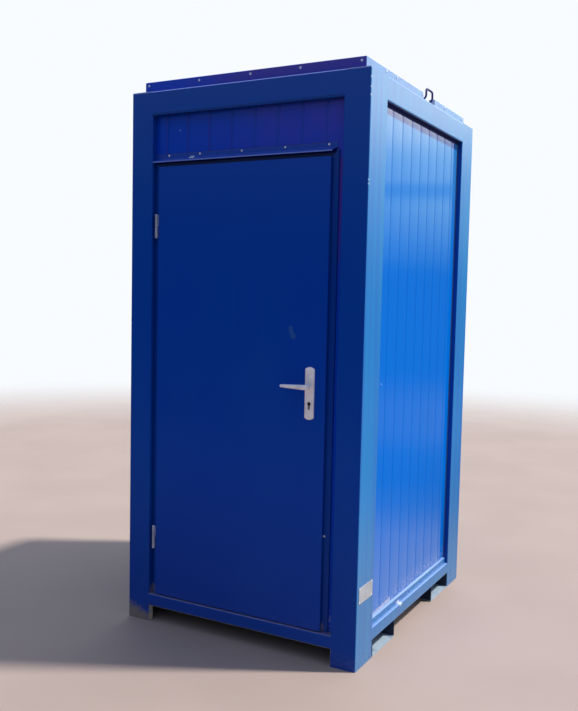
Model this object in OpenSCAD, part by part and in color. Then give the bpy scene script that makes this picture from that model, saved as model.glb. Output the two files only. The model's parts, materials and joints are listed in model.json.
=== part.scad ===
// Portable site cabin: a welded steel frame of folded profiles round grooved sandwich
// panels, with a rebated steel door. Millimetres. +Z is up, the door faces -Y, and the
// origin is on the ground under the middle of the frame.

/* [Cabin] */
// Width over the corner posts
cabin_w = 1200; // [1150:5:1600]
// Depth over the corner posts
cabin_d = 1400; // [1250:5:2400]
// Height of the steel frame above the ground
frame_h = 2485; // [2440:5:2700]
// Sheet thickness of posts and rails
frame_t = 4; // [3:0.5:5]
// Outer radius of the folds in posts and rails
frame_r = 6; // [5.5:0.5:9]
// How far the panels lie behind the outer faces of the frame, on the sides and the rear
recess = 25; // [23:1:40]
// How far the panels lie behind the outer face of the frame, on the front
recess_front = 34; // [33:1:45]

/* [Corner posts] */
// Width of a post's flange on the front and the rear
post_front_w = 118; // [100:1:120]
// Width of a post's flange on the sides
post_side_w = 180; // [120:1:220]
// Thickness of the foot plate
foot_plate_t = 8; // [5:1:15]
// Thickness of the plate that closes a post's top
top_plate_t = 4; // [3:1:8]

/* [Rails] */
// Height of the front and rear top rails
top_front_h = 110; // [90:1:130]
// Height of the side top rails
top_side_h = 101; // [90:1:120]
// Clear height under the bottom rails
under_h = 76; // [60:1:120]
// Height of the bottom rails
bottom_h = 57; // [40:1:90]
// Depth of a bottom rail's flanges
bottom_flange = 60; // [55:1:80]

/* [Panels] */
// Thickness of the wall panels
wall_t = 60; // [40:1:80]
// Thickness of the ceiling panel
ceiling_t = 60; // [40:1:80]
// Distance between the grooves in the outer skins
groove_pitch = 116.5; // [60:0.5:200]
// Mouth width of a groove
groove_w = 20; // [12:1:30]
// Width of a groove's sloping side
groove_slope = 4; // [2:0.5:5]
// Depth of a groove
groove_depth = 6; // [3:0.5:12]
// Middle of one groove on the front and rear, from the cabin's middle
groove_x = 45; // [-60:1:60]
// Middle of one groove on the sides, from the cabin's middle
groove_y = -44; // [-60:1:60]

/* [Roof] */
// Distance of the roof edging behind the side faces
roof_inset_x = 42; // [30:1:48]
// Distance of the roof edging behind the front and rear faces
roof_inset_y = 45; // [30:1:48]
// Thickness of the flat roof deck
roof_deck_t = 22; // [8:1:25]
// Height of the roof edging above the frame
edging_h = 55; // [35:1:80]
// Width of the edging's folded top
edging_w = 30; // [15:1:60]
// Depth of the lip inside the edging's top
edging_lip = 10; // [5:1:20]
// Sheet thickness of edging, flashing and trims
trim_t = 2; // [1:0.5:3]
// Outer radius of the folds in edging, flashing and trims
trim_r = 3.5; // [3.2:0.1:5]
// Length of the gap in the edging at each lifting eye
eye_gap = 164; // [130:1:240]

/* [Lifting eyes] */
// Diameter of the round bar
eye_bar_d = 10; // [8:0.5:16]
// Distance between the middles of the two legs
eye_span = 88; // [60:1:110]
// Height of the eye above the frame
eye_h = 85; // [80:1:120]
// Radius of the bar's bends at its middle line
eye_bend_r = 13; // [12:1:20]
// Radius of the bar's bends at its feet
eye_foot_r = 26; // [20:1:28]
// Length of the straight feet that lie on the roof deck
eye_foot_l = 30; // [15:1:60]
// Place of the eyes along the sides, from the cabin's middle
eye_y = 102; // [-200:1:200]

/* [Doorway] */
// Gap between the door frame and the post on the hinge side
hinge_post_gap = 0.5; // [0.3:0.1:5]
// Width of the wall strip between the door frame and the post on the lock side
lock_strip_w = 26; // [26:1:60]
// Height from the rebate face of the head to the top rail
over_door_h = 246; // [180:1:300]
// Sheet thickness of the door frame
jamb_t = 2.5; // [1.5:0.5:3]
// Outer radius of the folds in the door frame
jamb_r = 4; // [3.5:0.5:5]
// Face width of the door frame on the lock side and over the door
jamb_face_w = 44; // [44:1:50]
// Face width of the door frame on the hinge side
hinge_face_w = 44; // [36:0.5:44]
// Width of the stop that the leaf closes against
stop_w = 15; // [8:1:20]
// Height of the tread over the floor
sill_h = 20; // [12:1:30]
// Distance of the wall panels behind the rebate face of the door frame
panel_backset = 6; // [4:1:12]

/* [Door leaf] */
// Distance of the leaf's outer face behind the frame's front
leaf_inset = 9; // [9:0.5:10]
// Thickness of the whole leaf
leaf_t = 40; // [36:1:44]
// Thickness of the rebate flange round the leaf
rebate_t = 12; // [8:1:13]
// Overlap of the rebate flange over the door frame
rebate_lap = 14; // [10:1:18]
// Gap between the leaf and what it closes against
seal_gap = 5; // [5:0.5:6]
// Gap between the leaf's body and the sides of the door frame
side_gap = 7; // [7:0.5:9]
// Size of the bevel along the leaf's outer edges
leaf_bevel = 2; // [1:0.5:4]

/* [Hinges] */
// Diameter of the hinge knuckles
knuckle_d = 13; // [11:0.5:15]
// Height of a hinge over both knuckles
hinge_h = 106; // [70:1:160]
// Distance of the upper hinge's middle below the leaf's top
hinge_top_drop = 270; // [150:1:500]
// Distance of the lower hinge's middle above the leaf's foot
hinge_low_rise = 273; // [150:1:500]
// Distance of the hinge axis from the leaf's edge
hinge_out = 9; // [8:0.5:10]
// Distance of the hinge axis in front of the leaf's face
hinge_proud = 2; // [1:0.5:3]
// Diameter of the hinge pin
pin_d = 8; // [6:0.5:9]
// Radial clearance of pins and necks in their bores
running_fit = 0.05; // [0.01:0.01:0.1]
// Gap between two knuckles
knuckle_gap = 0.5; // [0.3:0.1:1]
// Thickness of the hinge's webs
hinge_web_t = 4; // [3:0.5:6]

/* [Door handle] */
// Distance of the lever's axis from the leaf's lock edge
backset = 72; // [60:1:90]
// Height of the lever's axis above the ground
lever_z = 1185; // [1000:1:1250]
// Width of the handle plates
plate_w = 43; // [36:1:50]
// Height of the handle plates
plate_h = 224; // [200:1:260]
// Height of the plate's middle below the lever's axis
plate_drop = 28; // [20:1:40]
// Thickness of the handle plates
plate_t = 8; // [5:0.5:10]
// Rise of the arched ends of the plates
plate_arch = 9; // [5:0.5:15]
// Bevel round the plate's face
plate_bevel = 3; // [1:0.5:4]
// Diameter of the lever's neck
neck_d = 18; // [14:1:22]
// Diameter of the lever's grip at the neck
grip_d = 22; // [16:1:24]
// Diameter of the lever's grip at its tip
tip_d = 13; // [10:1:16]
// Length of the lever from its axis to its tip
lever_l = 124; // [90:1:150]
// Distance of the lever's outermost point from the leaf's face
lever_out = 51; // [44:1:62]
// Side of the square spindle
spindle_s = 8; // [7:1:10]
// Distance of the lock cylinder's hole below the lever's axis
lock_drop = 72; // [55:1:92]
// Diameter of the round part of the keyhole
key_d = 17; // [15:0.5:18]
// Width of the keyhole's slot
key_slot_w = 10; // [8:0.5:11]
// Height of the whole keyhole
key_h = 33; // [28:0.5:36]
// Width of the lock's face plate
lock_face_w = 20; // [14:1:24]
// Height of the lock's face plate
lock_face_h = 235; // [200:1:270]
// Thickness of the lock's face plate
lock_face_t = 3; // [2:0.5:4]

/* [Flashing, trims and plate] */
// Height of the flashing's wall flange
drip_flange_h = 18; // [12:1:25]
// Height of the flashing's bend above the door frame
drip_bend_z = 10; // [6:1:20]
// Distance that the flashing reaches in front of the wall
drip_out = 28; // [20:1:30]
// Drop of the flashing's slope
drip_fall = 14; // [8:1:16]
// Height of the flashing's front lip
drip_lip = 6; // [5:0.5:10]
// Distance of the flashing's lock end from the post
drip_end = 36; // [8:1:40]
// Distance of the base trim's face in front of the wall
base_trim_out = 10; // [8:1:20]
// Height of the base trim's face
base_trim_h = 26; // [12:1:40]
// Rise of the base trim's sloping top
base_trim_rise = 6; // [2:1:15]
// Width of the bare data plate
data_w = 142; // [80:1:142]
// Height of the bare data plate
data_h = 70; // [40:1:100]
// Thickness of the bare data plate
data_t = 1.5; // [1:0.5:3]
// Height of the data plate's middle above the ground
data_z = 320; // [250:1:800]

/* [Fork pockets] */
// Width of a fork pocket over its webs
fork_w = 262; // [200:1:300]
// Sheet thickness of the fork pockets
fork_t = 5; // [4:1:8]
// Outer radius of the fork pockets' folds
fork_r = 9; // [9:1:12]

/* [Hidden] */

paint = "#16398c";
bare_metal = "#b4b6ba";
bend_steps = 4;
cut = 1;
$fn = 48;

half_w = cabin_w / 2;
half_d = cabin_d / 2;
post_x = half_w - post_front_w;
post_y = half_d - post_side_w;
wall_x = half_w - recess;
wall_y = half_d - recess;
front_y = half_d - recess_front;
room_x = wall_x - wall_t;
room_y = wall_y - wall_t;
room_front_y = front_y - wall_t;
floor_z = under_h + bottom_h;
ceiling_z = frame_h - ceiling_t;
roof_x = half_w - roof_inset_x;
roof_y = half_d - roof_inset_y;

jamb_left_x = -post_x + hinge_post_gap + hinge_face_w;
jamb_right_x = post_x - lock_strip_w - jamb_face_w;
head_z = frame_h - top_front_h - over_door_h;
leaf_y = -half_d + leaf_inset;
rebate_y = leaf_y + rebate_t;
leaf_in_y = leaf_y + leaf_t;
jamb_face_y = rebate_y + seal_gap;
stop_y = leaf_in_y + seal_gap;
jamb_in_y = jamb_t - room_front_y;
leaf_left_x = jamb_left_x - rebate_lap;
leaf_right_x = jamb_right_x + rebate_lap;
leaf_low_z = floor_z + seal_gap;
leaf_top_z = head_z + rebate_lap;
hinge_low_z = leaf_low_z + hinge_low_rise;
hinge_top_z = leaf_top_z - hinge_top_drop;
hinge_x = leaf_left_x - hinge_out;
hinge_y = leaf_y - hinge_proud;
lever_x = leaf_right_x - backset;
grip_y = lever_out - grip_d / 2;
lock_z = lever_z - lock_drop;

function unit(v) = v / norm(v);
function left_of(v) = [-v[1], v[0]];
function turned(v, a) = [v[0] * cos(a) - v[1] * sin(a), v[0] * sin(a) + v[1] * cos(a)];
function reversed(list) = [for (i = [len(list) - 1 : -1 : 0]) list[i]];

// Arc of the bend at b between a and c, on the line that lies off to the left of the path
function bend_arc(a, b, c, off, t, r) =
    let (
        n0 = left_of(unit(b - a)),
        n1 = left_of(unit(c - b)),
        s = cross(n0, n1) > 0 ? r : t - r,
        centre = b + s * (n0 + n1) / (1 + n0 * n1),
        sweep = atan2(cross(n0, n1), n0 * n1))
    [for (k = [0 : bend_steps]) centre - (s - off) * turned(n0, sweep * k / bend_steps)];

function fold_line(path, off, t, r) =
    let (last = len(path) - 1)
    [for (i = [0 : last])
        each i == 0 ? [path[0] + off * left_of(unit(path[1] - path[0]))]
            : i == last ? [path[last] + off * left_of(unit(path[last] - path[last - 1]))]
            : bend_arc(path[i - 1], path[i], path[i + 1], off, t, r)];

// Section of a folded sheet: its outer surface follows path, its thickness lies to the left
module sheet_section(path, t, r) {
    polygon(concat(fold_line(path, 0, t, r), reversed(fold_line(path, t, t, r))));
}

// The plane figure's two axes become Y and Z, X and Z, or X and Y
module along_x(x0, x1) translate([x0, 0, 0]) rotate([90, 0, 90]) linear_extrude(x1 - x0) children();
module along_y(y0, y1) translate([0, y1, 0]) rotate([90, 0, 0]) linear_extrude(y1 - y0) children();
module along_z(z0, z1) translate([0, 0, z0]) linear_extrude(z1 - z0) children();
module swap_axes() mirror([0, 1, 0]) rotate(-90) children();
module box(low, high) translate(low) cube(high - low);
module flip_x() mirror([1, 0, 0]) children();
module flip_y() mirror([0, 1, 0]) children();

// Corner post

// Room that the rails take in the folded edges of a post, whose front flange is folded back to y = -in_y
module rail_notches(in_y, z0_front, z0_side, z1) {
    box([post_x - cut, -half_d - cut, z0_front], [post_x + frame_r, -in_y + cut, z1]);
    box([wall_x - cut, -post_y - frame_r, z0_side], [half_w + cut, -post_y + cut, z1]);
}

module post_plate(in_y) {
    h = frame_t / 2;
    polygon([
        [post_x + h, -in_y], [post_x + h, h - half_d], [half_w - h, h - half_d],
        [half_w - h, -post_y - h], [wall_x, -post_y - h], [wall_x, -in_y]]);
}

module corner_post(in_y) color(paint) difference() {
    union() {
        along_z(0, frame_h) sheet_section([
            [post_x, -in_y], [post_x, -half_d], [half_w, -half_d],
            [half_w, -post_y], [wall_x, -post_y]], frame_t, frame_r);
        along_z(0, foot_plate_t) post_plate(in_y);
        along_z(frame_h - top_plate_t, frame_h) post_plate(in_y);
    }
    rail_notches(in_y, frame_h - top_front_h, frame_h - top_side_h, frame_h + cut);
    rail_notches(in_y, under_h, under_h, floor_z);
}

// Rails

module rail_section(face, depth, z0, z1) {
    sheet_section([[face - depth, z0], [face, z0], [face, z1], [face - depth, z1]], frame_t, frame_r);
}

module rail_rear(depth, z0, z1) color(paint) {
    reach = post_x + frame_r;
    along_x(-reach, reach) rail_section(half_d, depth, z0, z1);
}

module rail_right(depth, z0, z1) color(paint) {
    reach = post_y + frame_r;
    along_y(-reach, reach) rail_section(half_w, depth, z0, z1);
}

// Fork pocket: a folded channel that runs across the cabin under the floor, beside the posts
module fork_pocket() color(paint) {
    y0 = post_y - fork_w;
    along_x(-half_w, half_w)
        sheet_section([[y0, under_h], [y0, 0], [post_y, 0], [post_y, under_h]], fork_t, fork_r);
}

// Floor, walls and ceiling

module floor_deck() color("#6b5a48")
    box([bottom_flange - half_w, bottom_flange - half_d, under_h],
        [half_w - bottom_flange, half_d - bottom_flange, floor_z]);

function groove_middles(u0, u1, first) = [
    for (k = [-ceil(cabin_d / groove_pitch) : ceil(cabin_d / groove_pitch)])
        let (c = first + k * groove_pitch)
        if (c > u0 + groove_w && c < u1 - groove_w) c];

// Section of a panel from u0 to u1, with grooves in its outer face at v1
module panel_section(u0, u1, v0, v1, first) {
    half = groove_w / 2;
    polygon([
        [u0, v0], [u0, v1],
        for (c = groove_middles(u0, u1, first)) each [
            [c - half, v1], [c - half + groove_slope, v1 - groove_depth],
            [c + half - groove_slope, v1 - groove_depth], [c + half, v1]],
        [u1, v1], [u1, v0]]);
}

module right_wall() color(paint)
    along_z(floor_z, ceiling_z) swap_axes() panel_section(-front_y, wall_y, room_x, wall_x, groove_y);

module rear_wall() color(paint)
    along_z(floor_z, ceiling_z) panel_section(-room_x, room_x, room_y, wall_y, groove_x);

module front_panel(x0, x1, z0, z1) color(paint) flip_y()
    along_z(z0, z1) panel_section(x0, x1, room_front_y, front_y, groove_x);

module front_wall_left()
    front_panel(-room_x, jamb_left_x - panel_backset, floor_z, head_z + panel_backset);

module front_wall_right()
    front_panel(jamb_right_x + panel_backset, room_x, floor_z, head_z + panel_backset);

module front_wall_over_door() front_panel(-room_x, room_x, head_z + panel_backset, ceiling_z);

module ceiling_panel() color("#c9cbc8")
    box([-wall_x, -front_y, ceiling_z], [wall_x, wall_y, frame_h]);

// Roof

module roof_deck() color(paint)
    box([trim_t - roof_x, trim_t - roof_y, frame_h],
        [roof_x - trim_t, roof_y - trim_t, frame_h + roof_deck_t]);

module edging_section(face) {
    top = frame_h + edging_h;
    sheet_section([
        [face, frame_h], [face, top], [face - edging_w, top], [face - edging_w, top - edging_lip]],
        trim_t, trim_r);
}

module roof_edging_rear() color(paint) intersection() {
    along_x(-roof_x, roof_x) edging_section(roof_y);
    along_z(frame_h, frame_h + edging_h)
        polygon([[-roof_x, roof_y], [roof_x, roof_y], [0, roof_y - roof_x]]);
}

module roof_edging_right() color(paint) intersection() {
    difference() {
        along_y(-roof_y, roof_y) edging_section(roof_x);
        box([roof_x - edging_w - cut, eye_y - eye_gap / 2, frame_h - cut],
            [roof_x + cut, eye_y + eye_gap / 2, frame_h + edging_h + cut]);
    }
    along_z(frame_h, frame_h + edging_h)
        polygon([[roof_x, -roof_y], [roof_x, roof_y], [0, roof_y - roof_x], [0, roof_x - roof_y]]);
}

// Lifting eye: a bent round bar whose feet lie on the roof deck, in the gap of the edging
module lifting_eye() color("#1b2340") {
    r = eye_bar_d / 2;
    half = eye_span / 2;
    bar_z = frame_h + eye_h - r;
    foot_z = frame_h + roof_deck_t + r;
    leg_z = foot_z + eye_foot_r;
    translate([roof_x, eye_y, 0]) {
        for (side = [-1, 1]) {
            translate([-eye_foot_r - eye_foot_l, side * half, foot_z]) rotate([0, 90, 0])
                cylinder(h = eye_foot_l, r = r);
            translate([-eye_foot_r, side * half, leg_z]) rotate([-90, 0, 0])
                rotate_extrude(angle = 90) translate([eye_foot_r, 0]) circle(r = r);
            translate([0, side * half, leg_z]) cylinder(h = bar_z - eye_bend_r - leg_z, r = r);
            translate([0, side * (half - eye_bend_r), bar_z - eye_bend_r]) rotate([90, 0, side * 90])
                rotate_extrude(angle = 90) translate([eye_bend_r, 0]) circle(r = r);
        }
        translate([0, half - eye_bend_r, bar_z]) rotate([90, 0, 0]) cylinder(h = 2 * (half - eye_bend_r), r = r);
    }
}

// Door frame: a folded profile that grips the panels, mitred in its corners

// u runs outwards from the rebate face
function jamb_path(face_w) = [
    [face_w - 2 * jamb_t, jamb_in_y], [-stop_w, jamb_in_y], [-stop_w, stop_y], [0, stop_y],
    [0, jamb_face_y], [face_w, jamb_face_y], [face_w, -front_y]];

module jamb_section(face_w) sheet_section(jamb_path(face_w), jamb_t, jamb_r);

// Part of the opening's plane that a jamb on the side of sign takes
module jamb_mitre(x, sign) {
    reach = jamb_face_w;
    along_y(-half_d, -room_front_y + cut + jamb_t) polygon([
        [x - sign * (stop_w + cut), floor_z], [x + sign * reach, floor_z],
        [x + sign * reach, head_z + reach], [x - sign * (stop_w + cut), head_z - stop_w - cut]]);
}

module head_mitre() {
    in = stop_w + cut;
    out = jamb_face_w;
    low_x = jamb_left_x - hinge_face_w;
    along_y(-half_d, -room_front_y + cut + jamb_t) polygon([
        [jamb_left_x + in, head_z - in], [jamb_right_x - in, head_z - in],
        [jamb_right_x + out, head_z + out], [low_x, head_z + out], [low_x, head_z + hinge_face_w]]);
}

module lock_slots() {
    for (slot = [[lever_z - 8, 26], [lock_z - 8, 40]])
        translate([jamb_right_x + jamb_t / 2, (rebate_y + leaf_in_y) / 2, slot[0]])
            cube([jamb_t + 2 * cut, 12, slot[1]], center = true);
}

module door_frame_right() color(paint) difference() {
    intersection() {
        along_z(floor_z, head_z + jamb_face_w) translate([jamb_right_x, 0]) jamb_section(jamb_face_w);
        jamb_mitre(jamb_right_x, 1);
    }
    lock_slots();
}

module door_frame_left() color(paint) intersection() {
    along_z(floor_z, head_z + jamb_face_w) translate([jamb_left_x, 0]) flip_x() jamb_section(hinge_face_w);
    jamb_mitre(jamb_left_x, -1);
}

module door_frame_head() color(paint) intersection() {
    along_x(jamb_left_x - jamb_face_w, jamb_right_x + jamb_face_w)
        translate([0, head_z]) swap_axes() jamb_section(jamb_face_w);
    head_mitre();
}

module door_sill() color(bare_metal)
    along_x(jamb_left_x + stop_w, jamb_right_x - stop_w) sheet_section([
        [jamb_in_y, floor_z], [jamb_in_y, floor_z + sill_h],
        [stop_y, floor_z + sill_h], [stop_y, floor_z]], jamb_t, jamb_r);

// Drip flashing over the door, with its lock end cut back towards the wall
module door_drip_flashing() color(paint) {
    bend_z = head_z + jamb_face_w + drip_bend_z;
    face_y = -front_y - trim_t;
    end_x = post_x - drip_end;
    difference() {
        along_x(-post_x, end_x) sheet_section([
            [face_y, bend_z + drip_flange_h], [face_y, bend_z],
            [face_y - drip_out, bend_z - drip_fall], [face_y - drip_out, bend_z - drip_fall - drip_lip]],
            trim_t, trim_r);
        along_z(bend_z - drip_fall - drip_lip - cut, bend_z) polygon([
            [end_x, face_y], [end_x - drip_out / 2, face_y - drip_out - cut],
            [end_x + cut, face_y - drip_out - cut], [end_x + cut, face_y]]);
    }
}

// Base trims on the ledge of the bottom rails

// The sloping top runs into the wall and is cut off flush with it
module base_trim_section(face) {
    top = floor_z + base_trim_h;
    rise = base_trim_rise / base_trim_out;
    intersection() {
        sheet_section([
            [face + base_trim_out, floor_z], [face + base_trim_out, top],
            [face - trim_t, top + base_trim_rise + rise * trim_t]], trim_t, trim_r);
        translate([face, floor_z]) square([base_trim_out, base_trim_h + base_trim_rise]);
    }
}

module base_trim_right() color(paint) along_y(-post_y, post_y) base_trim_section(wall_x);
module base_trim_rear() color(paint) along_x(-post_x, post_x) base_trim_section(wall_y);

module data_plate() color(bare_metal) {
    y = -half_d + post_side_w / 2;
    box([half_w, y - data_w / 2, data_z - data_h / 2],
        [half_w + data_t, y + data_w / 2, data_z + data_h / 2]);
}

// Door leaf: a flat box with a rebate flange that laps over the frame
module keyhole() {
    circle(d = key_d);
    translate([-key_slot_w / 2, key_d / 2 - key_h]) square([key_slot_w, key_h - key_d / 2]);
}

module door_leaf() color(paint) {
    left = jamb_left_x + side_gap;
    right = jamb_right_x - side_gap;
    b = leaf_bevel;
    difference() {
        along_z(leaf_low_z, leaf_top_z) polygon([
            [leaf_left_x + b, leaf_y], [leaf_right_x - b, leaf_y], [leaf_right_x, leaf_y + b],
            [leaf_right_x, rebate_y], [right, rebate_y], [right, leaf_in_y],
            [left, leaf_in_y], [left, rebate_y], [leaf_left_x, rebate_y], [leaf_left_x, leaf_y + b]]);
        box([left - cut, rebate_y, head_z - seal_gap], [right + cut, leaf_in_y + cut, leaf_top_z + cut]);
        translate([lever_x, 0, lever_z]) along_y(leaf_y - cut, leaf_in_y + cut) circle(d = neck_d + 2);
        translate([lever_x, 0, lock_z]) along_y(leaf_y - cut, leaf_in_y + cut) keyhole();
        lock_face_room();
    }
}

module lock_face_room() {
    right = jamb_right_x - side_gap;
    y = (rebate_y + leaf_in_y) / 2;
    z = lever_z - lock_drop / 2;
    box([right - lock_face_t, y - lock_face_w / 2, z - lock_face_h / 2],
        [right + cut, y + lock_face_w / 2, z + lock_face_h / 2]);
}

module lock_faceplate() color(bare_metal) difference() {
    right = jamb_right_x - side_gap;
    intersection() {
        lock_face_room();
        box([right - lock_face_t, leaf_y, 0], [right, leaf_in_y, frame_h]);
    }
    for (slot = [[lever_z - 8, 22], [lock_z - 8, 34]])
        translate([right, (rebate_y + leaf_in_y) / 2, slot[0]])
            cube([2 * lock_face_t - 1, 10, slot[1]], center = true);
}

// Hinges

module knuckle(z0, z1) translate([hinge_x, hinge_y, z0]) cylinder(h = z1 - z0, d = knuckle_d);

module hinge_frame_half(z) {
    knuckle(z - hinge_h / 2, z - knuckle_gap / 2);
    translate([hinge_x, hinge_y, z - hinge_h / 2]) cylinder(h = hinge_h - 8, d = pin_d);
    box([hinge_x - hinge_web_t / 2, hinge_y, z - hinge_h / 2 + 2],
        [hinge_x + hinge_web_t / 2, jamb_face_y, z - knuckle_gap / 2 - 2]);
}

module hinge_door_half(z) difference() {
    union() {
        knuckle(z + knuckle_gap / 2, z + hinge_h / 2);
        box([hinge_x, leaf_y + leaf_bevel, z + knuckle_gap / 2 + 2],
            [leaf_left_x, leaf_y + leaf_bevel + hinge_web_t, z + hinge_h / 2 - 2]);
    }
    translate([hinge_x, hinge_y, z - cut]) cylinder(h = hinge_h / 2 - 7 + cut, d = pin_d + 2 * running_fit);
}

module hinge_frame_halves() color(bare_metal) for (z = [hinge_low_z, hinge_top_z]) hinge_frame_half(z);
module hinge_door_halves() color(bare_metal) for (z = [hinge_low_z, hinge_top_z]) hinge_door_half(z);

// Handle plates and levers; each is drawn on a face at y = 0 and stands out along -Y

// The two arched ends of a plate; a hull joins them
module plate_ends() {
    r = (plate_w * plate_w / 4 + plate_arch * plate_arch) / (2 * plate_arch);
    intersection() {
        square([plate_w, plate_h], center = true);
        for (side = [-1, 1]) translate([0, side * (plate_h / 2 - r)]) circle(r = r, $fn = 64);
    }
}

// The flat face ends straight, and wide bevels run from it down to the arched ends
module handle_plate() color(bare_metal) difference() {
    translate([0, 0, lever_z - plate_drop]) hull() {
        along_y(plate_bevel - plate_t, 0) plate_ends();
        along_y(-plate_t, 0)
            square([plate_w - 2 * plate_bevel, plate_h - 2 * (plate_arch + plate_bevel)], center = true);
    }
    translate([0, 0, lever_z]) along_y(-plate_t - cut, cut) circle(d = neck_d + 2 * running_fit);
    translate([0, 0, lock_z]) along_y(-plate_t - cut, cut) keyhole();
}

module lever() color(bare_metal) {
    taper_l = lever_l - tip_d / 2;
    translate([0, 0, lever_z]) {
        rotate([90, 0, 0]) cylinder(h = grip_y, d = neck_d);
        translate([0, -grip_y, 0]) {
            sphere(d = grip_d);
            rotate([0, -90, 0]) cylinder(h = taper_l, d1 = grip_d, d2 = tip_d);
            translate([-taper_l, 0, 0]) sphere(d = tip_d);
        }
    }
}

module on_outside() translate([lever_x, leaf_y, 0]) children();
module on_inside() translate([lever_x, leaf_in_y, 0]) flip_y() children();

module lever_spindle() color(bare_metal)
    translate([lever_x, 0, lever_z]) along_y(leaf_y, leaf_in_y) square(spindle_s, center = true);

flip_x() corner_post(front_y);  // corner_post_front_left
corner_post(front_y);  // corner_post_front_right
flip_x() flip_y() corner_post(wall_y);  // corner_post_rear_left
flip_y() corner_post(wall_y);  // corner_post_rear_right
flip_y() rail_rear(bottom_flange, under_h, floor_z);  // bottom_rail_front
rail_rear(bottom_flange, under_h, floor_z);  // bottom_rail_rear
flip_x() rail_right(bottom_flange, under_h, floor_z);  // bottom_rail_left
rail_right(bottom_flange, under_h, floor_z);  // bottom_rail_right
flip_y() rail_rear(recess_front, frame_h - top_front_h, frame_h);  // top_rail_front
rail_rear(recess, frame_h - top_front_h, frame_h);  // top_rail_rear
flip_x() rail_right(recess, frame_h - top_side_h, frame_h);  // top_rail_left
rail_right(recess, frame_h - top_side_h, frame_h);  // top_rail_right
flip_y() fork_pocket();  // fork_pocket_front
fork_pocket();  // fork_pocket_rear
floor_deck();
flip_x() right_wall();  // left_wall
right_wall();
rear_wall();
front_wall_left();
front_wall_right();
front_wall_over_door();
ceiling_panel();
roof_deck();
flip_y() roof_edging_rear();  // roof_edging_front
roof_edging_rear();
flip_x() roof_edging_right();  // roof_edging_left
roof_edging_right();
flip_x() lifting_eye();  // lifting_eye_left
lifting_eye();  // lifting_eye_right
flip_x() base_trim_right();  // base_trim_left
base_trim_right();
base_trim_rear();
door_frame_left();
door_frame_right();
door_frame_head();
door_sill();
door_drip_flashing();
data_plate();
hinge_frame_halves();
door_leaf();
hinge_door_halves();
on_outside() handle_plate();  // handle_plate_outside
on_inside() handle_plate();  // handle_plate_inside
lock_faceplate();
on_outside() lever();  // lever_outside
on_inside() lever();  // lever_inside
lever_spindle();
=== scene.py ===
"""Looks of a portable site cabin: its paint, fittings, seals, marks, light and camera.

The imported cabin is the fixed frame, in metres: the door faces -Y, +X is to the right, +Z is up.
New pieces are surfaces worked out as whole arrays, and every finish is a procedural material."""
import functools
import json
import math

import bmesh
import bpy
import numpy as np
from mathutils import Matrix, Vector


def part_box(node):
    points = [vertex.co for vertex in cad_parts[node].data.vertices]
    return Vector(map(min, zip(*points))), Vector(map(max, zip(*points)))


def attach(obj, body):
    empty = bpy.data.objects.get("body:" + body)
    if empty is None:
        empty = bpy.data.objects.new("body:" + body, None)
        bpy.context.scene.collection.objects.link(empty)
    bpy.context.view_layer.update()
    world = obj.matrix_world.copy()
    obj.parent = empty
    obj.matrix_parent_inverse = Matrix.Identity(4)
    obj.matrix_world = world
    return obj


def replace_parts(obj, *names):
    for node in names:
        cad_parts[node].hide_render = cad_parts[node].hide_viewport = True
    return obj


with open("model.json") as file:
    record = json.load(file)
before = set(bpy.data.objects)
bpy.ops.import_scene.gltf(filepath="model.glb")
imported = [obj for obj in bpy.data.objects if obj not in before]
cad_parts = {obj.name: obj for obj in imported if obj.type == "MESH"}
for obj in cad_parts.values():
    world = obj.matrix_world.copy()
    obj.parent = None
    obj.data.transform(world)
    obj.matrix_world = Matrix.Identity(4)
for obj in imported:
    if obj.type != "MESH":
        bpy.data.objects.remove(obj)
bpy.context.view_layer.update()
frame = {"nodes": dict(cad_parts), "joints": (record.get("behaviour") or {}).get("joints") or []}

bl_info = {
    "name": "Site cabin finish",
    "version": (1, 0, 0),
    "blender": (4, 5, 0),
    "location": "3D View > Sidebar > Cabin",
    "description": "Paints a portable site cabin and adds its fixings, seals, handles and marks",
    "category": "Object",
}

MM = 0.001
TURN = 2.0 * math.pi


def mm(*values):
    """Millimetres to metres, as one array."""
    return np.array(values, float) * MM


def linear(code):
    """An sRGB hex colour as linear red, green, blue and alpha."""
    parts = np.array([int(code[i:i + 2], 16) for i in (1, 3, 5)]) / 255.0
    low = parts / 12.92
    high = ((parts + 0.055) / 1.055) ** 2.4
    return (*np.where(parts <= 0.04045, low, high).tolist(), 1.0)


def corners(name):
    """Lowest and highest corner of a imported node, as arrays."""
    low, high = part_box(name)
    return np.array(low), np.array(high)


def joint_place(name):
    """A point on a joint's axis."""
    found = [joint for joint in frame["joints"] if joint["name"] == name]
    if not found:
        raise RuntimeError("the frame has no joint " + name)
    return np.array(found[0]["pos_m"])


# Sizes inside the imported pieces, which their boxes don't give

FOLD = 3.0 * MM             # sheet at the frame's folded edges
LEAF_LAP = 14.0 * MM        # lap of the leaf over its frame
POCKET_PLATE = 6.0 * MM     # bottom plate of a fork pocket
EYE_GAP = 33.0 * MM         # from a lifting eye to the cut ends of the roof edging
HINGE_HEIGHT = 106.0 * MM   # a hinge from end to end
LOCK_DROP = 72.0 * MM       # from the lever's axis down to the lock's


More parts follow.
